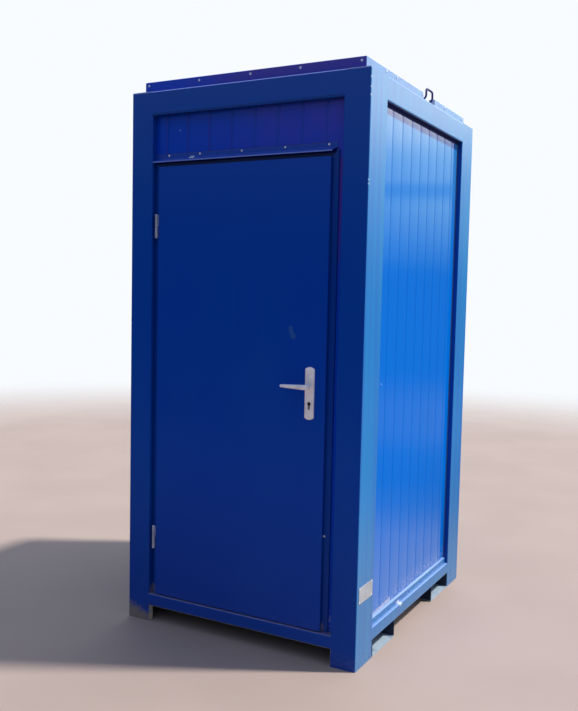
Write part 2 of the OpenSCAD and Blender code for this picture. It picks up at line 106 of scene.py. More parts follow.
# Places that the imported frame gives

POST_LOW, POST_HIGH = corners("corner_post_front_right")
FRAME_X, FRAME_Y, FRAME_TOP = POST_HIGH[0], -POST_LOW[1], POST_HIGH[2]
POST_IN_X, POST_IN_Y = POST_LOW[0], -POST_HIGH[1]
WALL_X = corners("right_wall")[1][0]
WALL_Y = corners("rear_wall")[1][1]
ROOM_X = corners("right_wall")[0][0]
ROOM_Y = corners("rear_wall")[0][1]
FLOOR_Z = corners("floor_deck")[1][2]
DECK_Z = corners("roof_deck")[1][2]
SOFFIT_Z = corners("top_rail_right")[0][2]
HEADER_Z = corners("top_rail_front")[0][2]
LEAF_LOW, LEAF_HIGH = corners("door_leaf")
JAMB_LOW = corners("door_frame_head")[0]
SILL_LOW = corners("door_sill")[0]
JAMB_LEFT, JAMB_RIGHT = LEAF_LOW[0] + LEAF_LAP, LEAF_HIGH[0] - LEAF_LAP
JAMB_HEAD = LEAF_HIGH[2] - LEAF_LAP
FRONT_WALL_Y = corners("front_wall_over_door")[0][1]
ROOM_FRONT_Y = corners("front_wall_over_door")[1][1]
HINGE_AXIS = joint_place("door_swing")
LEVER_AXIS = joint_place("lever_turn")


# Places of marks and rivets in metres, as x, y and z of the frame unless a comment says otherwise

EDGE_CHIPS_Z = mm(2484, 2444, 2406, 2374, 2039, 2023).tolist()
LEDGE_SPOTS_Y = (-0.184, -0.172)
TRIM_SPOTS_Y = (-0.186, -0.172)
FOOT_DIRT = [(0.0, 0.01, 0.08), (0.05, 0.0, 0.07), (0.1, 0.0, 0.05)]      # x from the corner, z, reach
WALL_SMEAR = list(zip(np.linspace(-0.46, -0.27, 9), mm(*np.linspace(32.0, 42.0, 9))))   # y, z over the deck
WALL_SPECK = (-0.44, 1.19)      # y, z
HEADER_SPECK = (-0.351, 2.305)  # x, z
JAMB_SPECK = (0.43, 0.549)      # x, z
STRIP_SHADE_Z = 2.15
EDGING_REFLECTION_X = 0.4
DOOR_SCUFF = [(0.256, 1.428), (0.258, 1.414), (0.262, 1.4), (0.27, 1.394)]    # x, z
FLASHING_CHIPS_X = (-0.288, -0.277)
FRONT_RIVETS_X = mm(-539, -258, 10, 256, 537)
SIDE_RIVETS_Y = mm(-443, -320, 7, 337, 621)
FLASHING_RIVETS_X = mm(-410, -240, -19, 198, 406)


# Mesh helpers


def surface(points):
    """A grid of points, rows by columns, as corners and quads; the last column joins the first."""
    rows, columns = points.shape[:2]
    index = np.arange(rows * columns).reshape(rows, columns)
    index = np.hstack([index, index[:, :1]])
    quads = np.stack([index[:-1, :-1], index[:-1, 1:], index[1:, 1:], index[1:, :-1]], axis=-1)
    return points.reshape(-1, 3), quads.reshape(-1, 4)


def capped(rings):
    """Rings of points along a piece as a surface, each end closed on the middle of its ring."""
    rings = np.asarray(rings, float)
    ends = [np.broadcast_to(ring.mean(axis=0), ring.shape)[None] for ring in (rings[0], rings[-1])]
    return surface(np.concatenate([ends[0], rings, ends[1]]))


def joined(surfaces):
    """Several surfaces as one."""
    counts = np.cumsum([0] + [len(points) for points, quads in surfaces])
    points = np.concatenate([points for points, quads in surfaces])
    quads = np.concatenate([item[1] + start for item, start in zip(surfaces, counts)])
    return points, quads


def placed(shape, places, axes=((1, 0, 0), (0, 1, 0), (0, 0, 1))):
    """A surface turned so that its own X, Y and Z lie along three axes, once at each of the places."""
    points, quads = shape
    places = np.asarray(places, float).reshape(-1, 3)
    turned = points @ np.asarray(axes, float)
    starts = np.arange(len(places)) * len(points)
    spread = turned[None, :, :] + places[:, None, :]
    return spread.reshape(-1, 3), (quads[None, :, :] + starts[:, None, None]).reshape(-1, 4)


def revolved(profile, sides):
    """A profile of (radius, height) turned round Z: x = r cos a, y = r sin a, z = h."""
    profile = np.asarray(profile, float)
    angle = np.linspace(0.0, TURN, sides, endpoint=False)
    radius, height = profile[:, :1], profile[:, 1:]
    level = height + 0.0 * angle
    return surface(np.stack([radius * np.cos(angle), radius * np.sin(angle), level], axis=-1))


def swept(path, across, upward, section, sizes):
    """A closed section carried along a path: point = path + size * (u * across + v * upward).

    The first and last section shrink to their path point, so that the ends are closed."""
    path, sizes = np.asarray(path, float), np.asarray(sizes, float).reshape(-1, 1, 1)
    across = np.broadcast_to(across, path.shape)[:, None, :]
    upward = np.broadcast_to(upward, path.shape)[:, None, :]
    offset = section[None, :, :1] * across + section[None, :, 1:] * upward
    rings = path[:, None, :] + sizes * offset
    ends = [np.broadcast_to(path[i], rings[0].shape)[None] for i in (0, -1)]
    return surface(np.concatenate([ends[0], rings, ends[1]]))


def circle(radius, sides):
    """Points of a circle, as (u, v)."""
    angle = np.linspace(0.0, TURN, sides, endpoint=False)
    return radius * np.stack([np.cos(angle), np.sin(angle)], axis=-1)


def rectangle(half_u, half_v):
    """Corners of a rectangle about its middle, as (u, v)."""
    return np.array([(-half_u, -half_v), (half_u, -half_v), (half_u, half_v), (-half_u, half_v)])


def rod(start, end, section, upward=(0, 0, 1)):
    """A straight bar of one section from start to end."""
    start, end = np.asarray(start, float), np.asarray(end, float)
    along = (end - start) / np.linalg.norm(end - start)
    across = np.cross(along, upward)
    return swept(np.stack([start, end]), across, upward, section, (1, 1))


def piece(name, shape, body, material, crease=35.0):
    """Puts a surface into a mesh object that rides on a body: doubles merged, normals outwards."""
    points, quads = shape
    mesh = bpy.data.meshes.new(name)
    mesh.from_pydata(points.tolist(), [], quads.tolist())
    work = bmesh.new()
    work.from_mesh(mesh)
    bmesh.ops.remove_doubles(work, verts=work.verts, dist=2e-6)
    bmesh.ops.recalc_face_normals(work, faces=work.faces)
    work.to_mesh(mesh)
    work.free()
    mesh.polygons.foreach_set("use_smooth", np.ones(len(mesh.polygons), bool))
    mesh.set_sharp_from_angle(angle=math.radians(crease))
    mesh.materials.append(material)
    made = bpy.data.objects.new(name, mesh)
    bpy.context.scene.collection.objects.link(made)
    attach(made, body)
    return made


# Material helpers

SOFT = {"interpolation_type": "SMOOTHSTEP"}
TIMES = {"operation": "MULTIPLY"}
FUSED = {"operation": "MULTIPLY_ADD"}
HIGHER = {"operation": "MAXIMUM"}
NEAR = {"operation": "COMPARE"}
SIZE = {"operation": "ABSOLUTE"}
OVER = {"data_type": "RGBA", "out": 2}


def node(tree, kind, inputs=None, out=0, **settings):
    """Adds a shader node with its settings and gives one of its outputs.

    An input takes a value or another node's output, by its name or number. A MapRange numbers its value,
    then the two ends that it reads and the two that it gives; a Mix its share, then its colours 6 and 7."""
    made = tree.nodes.new("ShaderNode" + kind)
    for name, value in settings.items():
        setattr(made, name, value)
    for key, value in (inputs or {}).items():
        if isinstance(value, bpy.types.NodeSocket):
            tree.links.new(value, made.inputs[key])
        else:
            made.inputs[key].default_value = value
    return made.outputs[out] if made.outputs else made


def new_finish(name):
    """A fresh material, what adds its nodes, the Object coordinates in metres, and their X, Y and Z."""
    material = bpy.data.materials.new(name)
    material.use_nodes = True
    material.node_tree.nodes.clear()
    add = functools.partial(node, material.node_tree)
    where = add("TexCoord", out="Object")
    return material, add, where, add("SeparateXYZ", {0: where}).node.outputs


def finished(material, add, relief, **inputs):
    """Ends a material: its surface with the given inputs, over a relief whose height is in metres."""
    normal = add("Bump", {"Strength": 1.0, "Distance": 1.0, "Height": relief})
    named = {key.replace("_", " "): value for key, value in inputs.items()}
    add("OutputMaterial", {0: add("BsdfPrincipled", {**named, "Normal": normal})})
    return material


def patches(add, where, size, detail=2.0, shift=0.0):
    """Irregular patches of a real size (x, y, z in metres), round 0.5."""
    scale = [1.0 / value for value in size]
    moved = add("Mapping", {0: where, 1: (shift, shift, shift), 3: scale})
    return add("TexNoise", {0: moved, 2: 1.0, 3: detail})


def marked(add, where, grains, colour, marks):
    """Ragged spots over a colour: each mark has a middle and a reach in metres, a tone and a strength."""
    for middle, reach, tone, strength in marks:
        away = add("VectorMath", {0: where, 1: middle}, 1, operation="DISTANCE")
        ragged = add("Math", {0: grains, 1: -0.7 * reach, 2: away}, **FUSED)
        near = add("MapRange", {0: ragged, 1: 0.75 * reach, 2: 0.15 * reach, 4: strength}, **SOFT)
        colour = add("Mix", {0: near, 6: colour, 7: tone}, **OVER)
    return colour


# Sizes and colours that a user may change


def paint(label, text, code):
    """A colour with its sRGB hex default."""
    return bpy.props.FloatVectorProperty(
        name=label, description=text, subtype="COLOR", size=4, default=linear(code))


def share(label, text, low, high, default):
    """A share with its lowest, highest and default value."""
    return bpy.props.FloatProperty(
        name=label, description=text, subtype="FACTOR", min=low, max=high, default=default)


def length(label, text, low, high, default):
    """A length with its lowest, highest and default value in millimetres."""
    return bpy.props.FloatProperty(
        name=label, description=text, unit="LENGTH", min=low * MM, max=high * MM, default=default * MM)


def turn(label, text, default):
    """An angle with its default in radians."""
    return bpy.props.FloatProperty(name=label, description=text, subtype="ANGLE", default=default)


class CabinPaints(bpy.types.PropertyGroup):
    """Colours of the cabin's finishes."""

    frame_blue: paint("Frame blue", "Enamel on the front of the folded steel frame", "#0143aa")
    # Painted sunlight: the side and rear frame blues are paler partly from sun bleaching and partly as
    # painted sunlight
    side_frame_low: paint(
        "Side frame blue, low", "Frame enamel on the sides and the rear, bleached by the sun", "#2771bc")
    side_frame_high: paint("Side frame blue, high", "The same enamel near the roof", "#2d6fb8")
    streak_cyan: paint(
        "Streak cyan", "Streaks in the enamel where rain runs down the sunny sides", "#1d84bf")
    # Painted shade: the door frame's blue is darkened for the shade of its recess
    jamb_shade_blue: paint("Shaded blue", "Enamel of the door frame, which the recess has kept dark", "#013b99")
    flashing_blue: paint("Flashing blue", "Enamel of the flashing over the door", "#1e4bb6")
    panel_blue: paint("Panel blue", "Coil coating on the panel over the door", "#0243c7")
    # Painted sunlight: the side and rear panel blues are paler partly from sun bleaching and partly as
    # painted sunlight
    side_panel_low: paint("Side panel blue, low", "Coil coating on the sides and the rear", "#026ace")
    side_panel_high: paint("Side panel blue, high", "The same coating near the roof", "#307cc5")
    # Painted shadow: the band under the side top rails where their shadow falls on the walls
    rail_shadow_blue: paint("Kept blue", "Coil coating that the top rail has kept from the sun", "#0d1fc5")
    # Painted shade: the darker tone of the grooves
    groove_shade_blue: paint("Groove blue", "Coil coating in the grooves", "#004bad")
    door_blue: paint("Door blue", "Enamel on the door leaf", "#0141ad")
    faded_blue: paint("Faded blue", "Paint that sun and rain have dulled", "#1659ad")
    # Painted shade: a nearly black blue inside the fork pockets and under the top rails
    deep_shade_blue: paint("Pocket blue", "Grimy enamel inside the fork pockets", "#071d3f")
    # Painted shade: the head's blue is darkened for the deep shade under the flashing
    head_shade_blue: paint("Head blue", "Enamel of the door frame's head, deep under the flashing", "#031661")
    # Painted light: the header, flank and edging tints are painted reflections; the strip tint is painted
    # shade
    header_reflection_violet: paint(
        "Header violet", "Tint of the panel over the door towards its right end", "#483db8")
    flank_reflection_violet: paint(
        "Flank violet", "Flanks of the left grooves over the door that face to the right", "#3f229e")
    strip_shade_purple: paint("Strip purple", "Tint of the wall strip beside the lock", "#69126f")
    edging_reflection_purple: paint("Edging purple", "Tint of the front roof edging towards its right end", "#5d3a96")
    scuff_blue: paint("Scuff blue", "Scuffs on the door leaf", "#305da6")
    # Also a painted highlight along the flashing's lower lip
    worn_fold_and_lip_highlight: paint("Worn fold", "Paint rubbed pale along the top folds", "#95adf9")
    road_dust: paint("Road dust", "Dry dirt near the ground and on ledges", "#8c7d6c")
    pale_dust: paint("Pale dust", "Whitish dust and scuffs on the sunny sides", "#c8c8d8")
    bare_primer: paint("Bare primer", "Primer that shows where the paint has chipped", "#dfe6f0")
    # Pure white: filler in the chips, and a painted glint as bright as bare metal
    chip_filler_and_glint_white: paint("White filler", "Filler that shows in the flashing's chips", "#ffffff")
    rubbed_plate: paint("Rubbed plate", "Steel that forks have rubbed bright in their pockets", "#aebfcc")
    lining_white: paint("Lining white", "Inner faces of the panels", "#d9dad4")
    enamel_roughness: share(
        "Enamel roughness", "Roughness of the clean enamel on the frame and the door", 0.05, 0.9, 0.16)
    coil_roughness: share(
        "Coil coat roughness", "Roughness of the clean coil coating on the walls", 0.02, 0.9, 0.05)


class CabinFittings(bpy.types.PropertyGroup):
    """Sizes of the small fittings."""

    edging_rivet: length("Edging rivet", "Head diameter of the rivets in the roof edging", 6, 20, 11.5)
    flashing_rivet: length("Flashing rivet", "Head diameter of the rivets in the door flashing", 6, 20, 9.5)
    plate_rivet: length("Plate rivet", "Head diameter of the data plate's rivets", 3, 10, 6.0)
    seal_bulb: length("Seal bulb", "Diameter of the door seal's bulb", 3, 5, 4.6)
    weld_bead: length("Weld bead", "Width of the welds on the frame", 3, 10, 6.0)
    sealant_bead: length("Sealant bead", "Width of the sealant in the corners", 2, 10, 5.0)
    eye_bar: length("Eye bar", "Diameter of the bar that the lifting eyes are bent from", 8, 20, 10.0)
    groove_width: length("Groove width", "Mouth of a rolled groove", 10, 30, 20.0)
    groove_depth: length("Groove depth", "Depth of a rolled groove", 0.5, 5, 1.8)


class CabinStage(bpy.types.PropertyGroup):
    """Light and camera."""

    sun_strength: bpy.props.FloatProperty(
        name="Key light", description="Strength of the distant key light", min=0.0, default=5.1)
    sky_azimuth: turn(
        "Bright sky azimuth", "Middle of the bright half of the sky, from +X towards +Y",
        math.radians(72.0))
    sun_azimuth: turn("Key azimuth", "Direction of the key light, from +X towards +Y", math.radians(29.0))
    sun_elevation: turn("Key elevation", "Height of the key light above the floor", math.radians(58.0))
    sun_softness: turn("Key softness", "Apparent width of the key light", math.radians(3.5))
    camera_place: bpy.props.FloatVectorProperty(
        name="Camera place", description="Where the camera stands",
        subtype="XYZ", unit="LENGTH", size=3, default=(1.9614, -3.8446, 1.578))
    camera_yaw: turn("Camera yaw", "Turn of the camera to the left of +Y", 0.4972)
    camera_pitch: turn("Camera pitch", "Tilt of the camera above the horizon", -0.0739)
    camera_roll: turn("Camera roll", "Turn of the camera round its own axis", 0.0214)
    lens: bpy.props.FloatProperty(
        name="Lens", description="Focal length in millimetres for a 36 mm long side",
        subtype="DISTANCE_CAMERA", default=42.64)
    floor_tone: paint("Floor tone", "Plain pale floor", "#97857d")


# Finishes

# Real sizes of their patterns along X, Y and Z, in metres; the peel, brushing and film are drawn coarser
# than the real ones, so that they show

RAIN_STREAK = (0.035, 0.035, 1.6)
PAINT_RUN = (0.04, 0.04, 0.9)
DULL_PATCH = (0.45, 0.45, 0.8)
DULL_SHEET = (0.25, 0.25, 1.2)
DUST_GRAIN = (0.02, 0.02, 0.014)
SHEET_GRAIN = (0.02, 0.02, 0.012)
FRAME_WAVE = (0.3, 0.3, 0.45)
SHEET_WAVE = (0.5, 0.5, 0.35)
ORANGE_PEEL = (0.007, 0.007, 0.007)
FINE_PEEL = (0.006, 0.006, 0.006)
VIOLET_CLOUD = (0.14, 0.14, 0.14)
RUBBED_PATCH = (0.05, 0.05, 0.05)
FORK_SCRATCH = (0.004, 0.03, 0.004)
TONE_PATCH = (0.06, 0.06, 0.06)
BRUSHED_UP = (0.0008, 0.0008, 0.02)
DRAWN_ALONG = (0.05, 0.001, 0.001)
BOARD_FILM = (0.004, 0.004, 0.004)
CAST_GRAIN = (0.01, 0.01, 0.01)
FLOOR_CLOUD = (0.7, 0.7, 0.7)

# Where the paler blue near the roof grows, where the darkening near the ground ends, and where the painted
# rail shadow starts

PALE_TOP_Z = (FRAME_TOP - 0.9, FRAME_TOP - 0.1)
LOW_DARKENING_Z = (0.15, 0.9)
RAIL_SHADOW_Z = (SOFFIT_Z - 0.048, SOFFIT_Z - 0.032)
RAIL_SHADOW_Y = (POST_IN_Y - 0.04, POST_IN_Y - 0.06)


def rail_ledges(add, at, aside):
    """Shares of the rails' ledges: at their level, between the corner posts, and beside the side walls."""
    depth = add("Math", {0: at[1]}, **SIZE)
    level = add("Math", {0: at[2], 1: FLOOR_Z, 2: 2.5 * MM}, **NEAR)
    amid = add("MapRange", {0: depth, 1: POST_IN_Y, 2: POST_IN_Y - 2.0 * MM})
    beside = add("MapRange", {0: aside, 1: WALL_X, 2: WALL_X + 3.0 * MM})
    beside = add("Math", {0: beside, 1: amid}, **TIMES)
    return level, amid, add("Math", {0: beside, 1: level}, **TIMES)


def pale_sunlit_faces(add, where, at, sunny, colour):
    """Enamel paler and streaked on its side and rear faces, partly sun bleaching and partly painted
    sunlight, dulled in patches and darker towards the ground.
    """
    paints = bpy.context.scene.cabin_paints
    height = add("MapRange", {0: at[2], 1: PALE_TOP_Z[0], 2: PALE_TOP_Z[1]}, **SOFT)
    sunlit_and_bleached = add("Mix", {0: height, 6: paints.side_frame_low, 7: paints.side_frame_high}, **OVER)
    rain = patches(add, where, RAIN_STREAK, 2.0, 9.0)
    streak = add("MapRange", {0: rain, 1: 0.42, 2: 0.62, 4: 0.5}, **SOFT)
    sunlit_and_bleached = add("Mix", {0: streak, 6: sunlit_and_bleached, 7: paints.streak_cyan}, **OVER)
    # Painted sunlight: the side and rear faces take the paler blue, along with some sun bleaching
    blue = add("Mix", {0: sunny, 6: colour, 7: sunlit_and_bleached}, **OVER)
    cloud = patches(add, where, DULL_PATCH, 3.0)
    dulled = add("MapRange", {0: cloud, 1: 0.45, 2: 0.75, 4: 0.16}, **SOFT)
    blue = add("Mix", {0: dulled, 6: blue, 7: paints.faded_blue}, **OVER)
    # Darker towards the ground, a little more on the side and rear faces
    lowest_tone = add("Math", {0: sunny, 1: -0.06, 2: 0.82}, **FUSED)
    low_darkening = add("MapRange", {0: at[2], 1: LOW_DARKENING_Z[0], 2: LOW_DARKENING_Z[1], 3: lowest_tone}, **SOFT)
    return add("VectorMath", {0: blue, 3: low_darkening}, operation="SCALE")


def worn_rails(add, at, aside, amid, shelf, blue):
    """The frame's rails: the top fold rubbed pale, pale dust on the side ledges, painted shade underneath.
    """
    paints = bpy.context.scene.cabin_paints
    front = add("MapRange", {0: at[1], 1: FOLD - FRAME_Y, 2: 0.2 * FOLD - FRAME_Y})
    crest = add("MapRange", {0: at[2], 1: FRAME_TOP - 2.0 * FOLD, 2: FRAME_TOP - FOLD, 4: 0.85}, **SOFT)
    crest = add("Math", {0: crest, 1: front}, **TIMES)
    blue = add("Mix", {0: crest, 6: blue, 7: paints.worn_fold_and_lip_highlight}, **OVER)
    dusted = add("Math", {0: shelf, 1: 0.2}, **TIMES)
    blue = add("Mix", {0: dusted, 6: blue, 7: paints.pale_dust}, **OVER)
    inside = add("MapRange", {0: aside, 1: POST_IN_X, 2: POST_IN_X - 2.0 * MM})
    rail = add("Math", {0: inside, 1: amid}, **HIGHER)
    # Painted shade under the top rails
    soffit, header = [add("Math", {0: at[2], 1: z, 2: 1.5 * MM}, **NEAR) for z in (SOFFIT_Z, HEADER_Z)]
    under = add("Math", {0: soffit, 1: header}, **HIGHER)
    under = add("Math", {0: under, 1: rail}, **TIMES)
    painted_shade = add("Math", {0: under, 1: 0.8}, **TIMES)
    return add("Mix", {0: painted_shade, 6: blue, 7: paints.deep_shade_blue}, **OVER)


def front_ledge(add, at, aside, level):
    """Share of dust on the front rail's ledge, before the door's tread and between the corner posts."""
    between = add("MapRange", {0: aside, 1: POST_IN_X + 2.0 * MM, 2: POST_IN_X, 4: 0.4})
    before = add("MapRange", {0: at[1], 1: SILL_LOW[1], 2: SILL_LOW[1] - 5.0 * MM})
    return add("Math", {0: add("Math", {0: between, 1: before}, **TIMES), 1: level}, **TIMES)


def enamel(name, colour, faces, marks=(), dust_top=0.16, dust_amount=0.5, roughness=None, ledges=False,
           lip=None, crown=None):
    """Alkyd enamel sprayed on sheet steel: deep gloss, faint runs and dulled patches.

    The eye gets a clear but slightly wavy mirror of the sky, dust that thickens downwards, and a paler blue
    on the side and rear faces, partly sun bleaching and partly painted sunlight. faces holds how far out
    those lie;
    ledges adds the pale worn fold along the top, the dust on the rails' ledges and painted shade under the
    top rails; lip is the (y, z) of a lower edge painted pale as a highlight, and crown is the height over
    which pale dust lies."""
    paints = bpy.context.scene.cabin_paints
    material, add, where, at = new_finish(name)
    aside = add("Math", {0: at[0]}, **SIZE)
    to_side = add("MapRange", {0: aside, 1: faces[0] - FOLD, 2: faces[0] - 0.2 * FOLD}, **SOFT)
    to_rear = add("MapRange", {0: at[1], 1: faces[1] - FOLD, 2: faces[1] - 0.2 * FOLD}, **SOFT)
    sunny = add("Math", {0: to_side, 1: to_rear}, **HIGHER)
    if ledges:
        level, amid, shelf = rail_ledges(add, at, aside)
        sunny = add("Math", {0: sunny, 1: shelf}, **HIGHER)
    blue = pale_sunlit_faces(add, where, at, sunny, colour)
    grains = patches(add, where, DUST_GRAIN, 5.0, 7.0)
    low = add("MapRange", {0: at[2], 1: dust_top, 2: 0.0}, **SOFT)
    spread = add("MapRange", {0: grains, 1: 0.3, 2: 0.7, 4: dust_amount}, **SOFT)
    dust = add("Math", {0: low, 1: spread}, **TIMES)
    if ledges:
        blue = worn_rails(add, at, aside, amid, shelf, blue)
        dust = add("Math", {0: dust, 1: front_ledge(add, at, aside, level)}, **HIGHER)
    # Painted highlight: a pale line along the flashing's lower lip edge
    if lip:
        outside = add("MapRange", {0: at[1], 1: lip[0] + 2.0 * MM, 2: lip[0] + 1.0 * MM, 4: 0.42})
        edge = add("MapRange", {0: at[2], 1: lip[1] + 6.0 * MM, 2: lip[1] + 4.0 * MM})
        edge = add("Math", {0: outside, 1: edge}, **TIMES)
        blue = add("Mix", {0: edge, 6: blue, 7: paints.worn_fold_and_lip_highlight}, **OVER)
    dusty = add("Mix", {0: dust, 6: blue, 7: paints.road_dust}, **OVER)
    if crown:
        settled = add("MapRange", {0: at[2], 1: crown, 2: crown + 1.5 * MM, 4: 0.2})
        dusty = add("Mix", {0: settled, 6: dusty, 7: paints.pale_dust}, **OVER)
    runs = add("MapRange", {0: patches(add, where, PAINT_RUN, 2.0, 3.0), 1: 0.5, 2: 0.75}, **SOFT)
    clean = paints.enamel_roughness if roughness is None else roughness
    gloss = add("Math", {0: sunny, 1: 0.1, 2: clean}, **FUSED)
    gloss = add("Math", {0: runs, 1: 0.015, 2: gloss}, **FUSED)
    gloss = add("Math", {0: dust, 1: 0.5, 2: gloss}, **FUSED)
    wave = add("Math", {0: patches(add, where, FRAME_WAVE, 1.0, 11.0), 1: 0.12 * MM}, **TIMES)
    peel = add("Math", {0: patches(add, where, ORANGE_PEEL, 1.0, 5.0), 1: 0.003 * MM, 2: wave}, **FUSED)
    relief = add("Math", {0: dust, 1: 0.2 * MM, 2: peel}, **FUSED)
    worn = marked(add, where, grains, dusty, marks)
    return finished(material, add, relief, Base_Color=worn, Roughness=gloss, IOR=1.5)


def sheet_with_rail_shadow(add, at, height):
    """Paler side coating, partly sun bleaching and partly painted sunlight, with a band of painted shadow
    under the side top rails.
    """
    paints = bpy.context.scene.cabin_paints
    blue = add("Mix", {0: height, 6: paints.side_panel_low, 7: paints.side_panel_high}, **OVER)
    # Painted shadow: a band under the side top rails, stopping short of the rear corners
    kept = add("MapRange", {0: at[2], 1: RAIL_SHADOW_Z[0], 2: RAIL_SHADOW_Z[1]}, **SOFT)
    short = add("MapRange", {0: at[1], 1: RAIL_SHADOW_Y[0], 2: RAIL_SHADOW_Y[1]}, **SOFT)
    kept = add("Math", {0: kept, 1: short}, **TIMES)
    return add("Mix", {0: kept, 6: blue, 7: paints.rail_shadow_blue}, **OVER)


def violet_reflection_sheet(add, where, at, height):
    """Coating with a painted violet reflection in clouds towards the right end, and on the left grooves'
    flanks.
    """
    paints = bpy.context.scene.cabin_paints
    cloud = patches(add, where, VIOLET_CLOUD, 2.0)
    turned = add("MapRange", {0: at[0], 1: -POST_IN_X, 2: POST_IN_X, 4: 1.1}, **SOFT)
    turned = add("Math", {0: add("Math", {0: turned, 1: cloud}, **TIMES), 1: height}, **TIMES)
    # Painted reflection: violet in clouds towards the right end
    blue = add("Mix", {0: turned, 6: paints.panel_blue, 7: paints.header_reflection_violet}, **OVER)
    # Painted reflection: violet on the groove flanks that face to the right
    facing = add("SeparateXYZ", {0: add("TexCoord", out="Normal")})
    flank = add("MapRange", {0: facing, 1: 0.1, 2: 0.35, 4: 0.45}, **SOFT)
    early = add("MapRange", {0: at[0], 1: 0.1, 2: -0.2}, **SOFT)
    flank = add("Math", {0: flank, 1: early}, **TIMES)
    return add("Mix", {0: flank, 6: blue, 7: paints.flank_reflection_violet}, **OVER)


def coil_coat(name, axis, outer, inner, sunlit_and_bleached=True, marks=()):
    """Polyester coil coating on rolled sheet: even gloss, dust near the ground, off-white inner faces.

    The eye gets a clear mirror of the sky and painted shade in the grooves. The outer and inner face lie
    that far from the middle along an axis. Bleached panels are paler, partly sun bleaching and partly
    painted sunlight, and paler still near the roof, except in the band of painted shadow under the top
    rail; the others get a painted violet reflection towards their right end."""
    paints = bpy.context.scene.cabin_paints
    material, add, where, at = new_finish(name)
    reach = add("Math", {0: at[axis]}, **SIZE)
    height = add("MapRange", {0: at[2], 1: PALE_TOP_Z[0], 2: PALE_TOP_Z[1]}, **SOFT)
    blue = sheet_with_rail_shadow(add, at, height) if sunlit_and_bleached else violet_reflection_sheet(add, where, at, height)
    cloud = patches(add, where, DULL_SHEET, 3.0, 2.0)
    dulled = add("MapRange", {0: cloud, 1: 0.4, 2: 0.8, 4: 0.1}, **SOFT)
    blue = add("Mix", {0: dulled, 6: blue, 7: paints.faded_blue}, **OVER)
    # Darker towards the ground
    low_darkening = add("MapRange", {0: at[2], 1: LOW_DARKENING_Z[0], 2: LOW_DARKENING_Z[1], 3: 0.82}, **SOFT)
    blue = add("VectorMath", {0: blue, 3: low_darkening}, operation="SCALE")
    grains = patches(add, where, SHEET_GRAIN, 5.0, 7.0)
    low = add("MapRange", {0: at[2], 1: FLOOR_Z + 0.12, 2: FLOOR_Z + 0.02}, **SOFT)
    spread = add("MapRange", {0: grains, 1: 0.35, 2: 0.8, 4: 0.3}, **SOFT)
    dust = add("Math", {0: low, 1: spread}, **TIMES)
    dusty = add("Mix", {0: dust, 6: blue, 7: paints.pale_dust}, **OVER)
    dusty = marked(add, where, grains, dusty, marks)
    # Painted shade: the grooves get a darker tone with depth
    groove = add("MapRange", {0: reach, 1: outer - 0.3 * MM, 2: outer - 1.6 * MM, 4: 0.25}, **SOFT)
    toned = add("Mix", {0: groove, 6: dusty, 7: paints.groove_shade_blue}, **OVER)
    inside = add("MapRange", {0: reach, 1: inner + 2.0 * MM, 2: inner + 1.0 * MM})
    colour = add("Mix", {0: inside, 6: toned, 7: paints.lining_white}, **OVER)
    gloss = add("Math", {0: dust, 1: 0.5, 2: paints.coil_roughness}, **FUSED)
    gloss = add("Math", {0: inside, 1: 0.25, 2: gloss}, **FUSED)
    wave = add("Math", {0: patches(add, where, SHEET_WAVE, 1.0, 4.0), 1: 0.1 * MM}, **TIMES)
    relief = add("Math", {0: patches(add, where, FINE_PEEL, 1.0, 5.0), 1: 0.004 * MM, 2: wave}, **FUSED)
    shine = 1.5 if sunlit_and_bleached else 1.36
    return finished(material, add, relief, Base_Color=colour, Roughness=gloss, IOR=shine)


def plain_finish(name, colour, roughness, metallic=0.0, grain=CAST_GRAIN, depth_mm=0.02, foot=None):
    """A finish with one tone: fine grain in its height, and patches a little darker.

    foot is a height below which a part was painted over, and the colour of that paint."""
    material, add, where, at = new_finish(name)
    soft = add("MapRange", {0: patches(add, where, TONE_PATCH, 3.0), 1: 0.3, 2: 0.7}, **SOFT)
    darker = tuple(value * 0.76 for value in colour[:3]) + (1.0,)
    tone = add("Mix", {0: soft, 6: darker, 7: colour}, **OVER)
    if foot:
        painted = add("MapRange", {0: at[2], 1: foot[0], 2: foot[0] - 2.0 * MM})
        tone = add("Mix", {0: painted, 6: tone, 7: foot[1]}, **OVER)
    fine = add("Math", {0: patches(add, where, grain, 3.0, 2.0), 1: depth_mm * MM}, **TIMES)
    rough = add("Math", {0: soft, 1: 0.08, 2: roughness}, **FUSED)
    return finished(material, add, fine, Base_Color=tone, Roughness=rough, Metallic=metallic)


def pocket_finish(name, plate_top):
    """Worn enamel of the fork pockets, painted nearly black inside as shade, and the bottom plate rubbed
    pale and bright.

    The eye gets scuffed pale steel below the plate's top and dark blue painted shade above it."""
    paints = bpy.context.scene.cabin_paints
    material, add, where, at = new_finish(name)
    rubbed = add("MapRange", {0: at[2], 1: plate_top + 1.5 * MM, 2: plate_top + 0.5 * MM})
    cloud = patches(add, where, RUBBED_PATCH, 4.0)
    patchy = add("MapRange", {0: cloud, 1: 0.2, 2: 0.55, 3: 0.35, 4: 0.62}, **SOFT)
    bright = add("Math", {0: rubbed, 1: patchy}, **TIMES)
    colour = add("Mix", {0: bright, 6: paints.deep_shade_blue, 7: paints.rubbed_plate}, **OVER)
    fine = add("Math", {0: patches(add, where, FORK_SCRATCH, 3.0), 1: 0.05 * MM}, **TIMES)
    return finished(material, add, fine, Base_Color=colour, Roughness=0.55)


def coat(material, *names):
    """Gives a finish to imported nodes."""
    for name in names:
        if name not in frame["nodes"]:
            raise RuntimeError("the frame has no node " + name)
        for slot in frame["nodes"][name].material_slots:
            slot.material = material


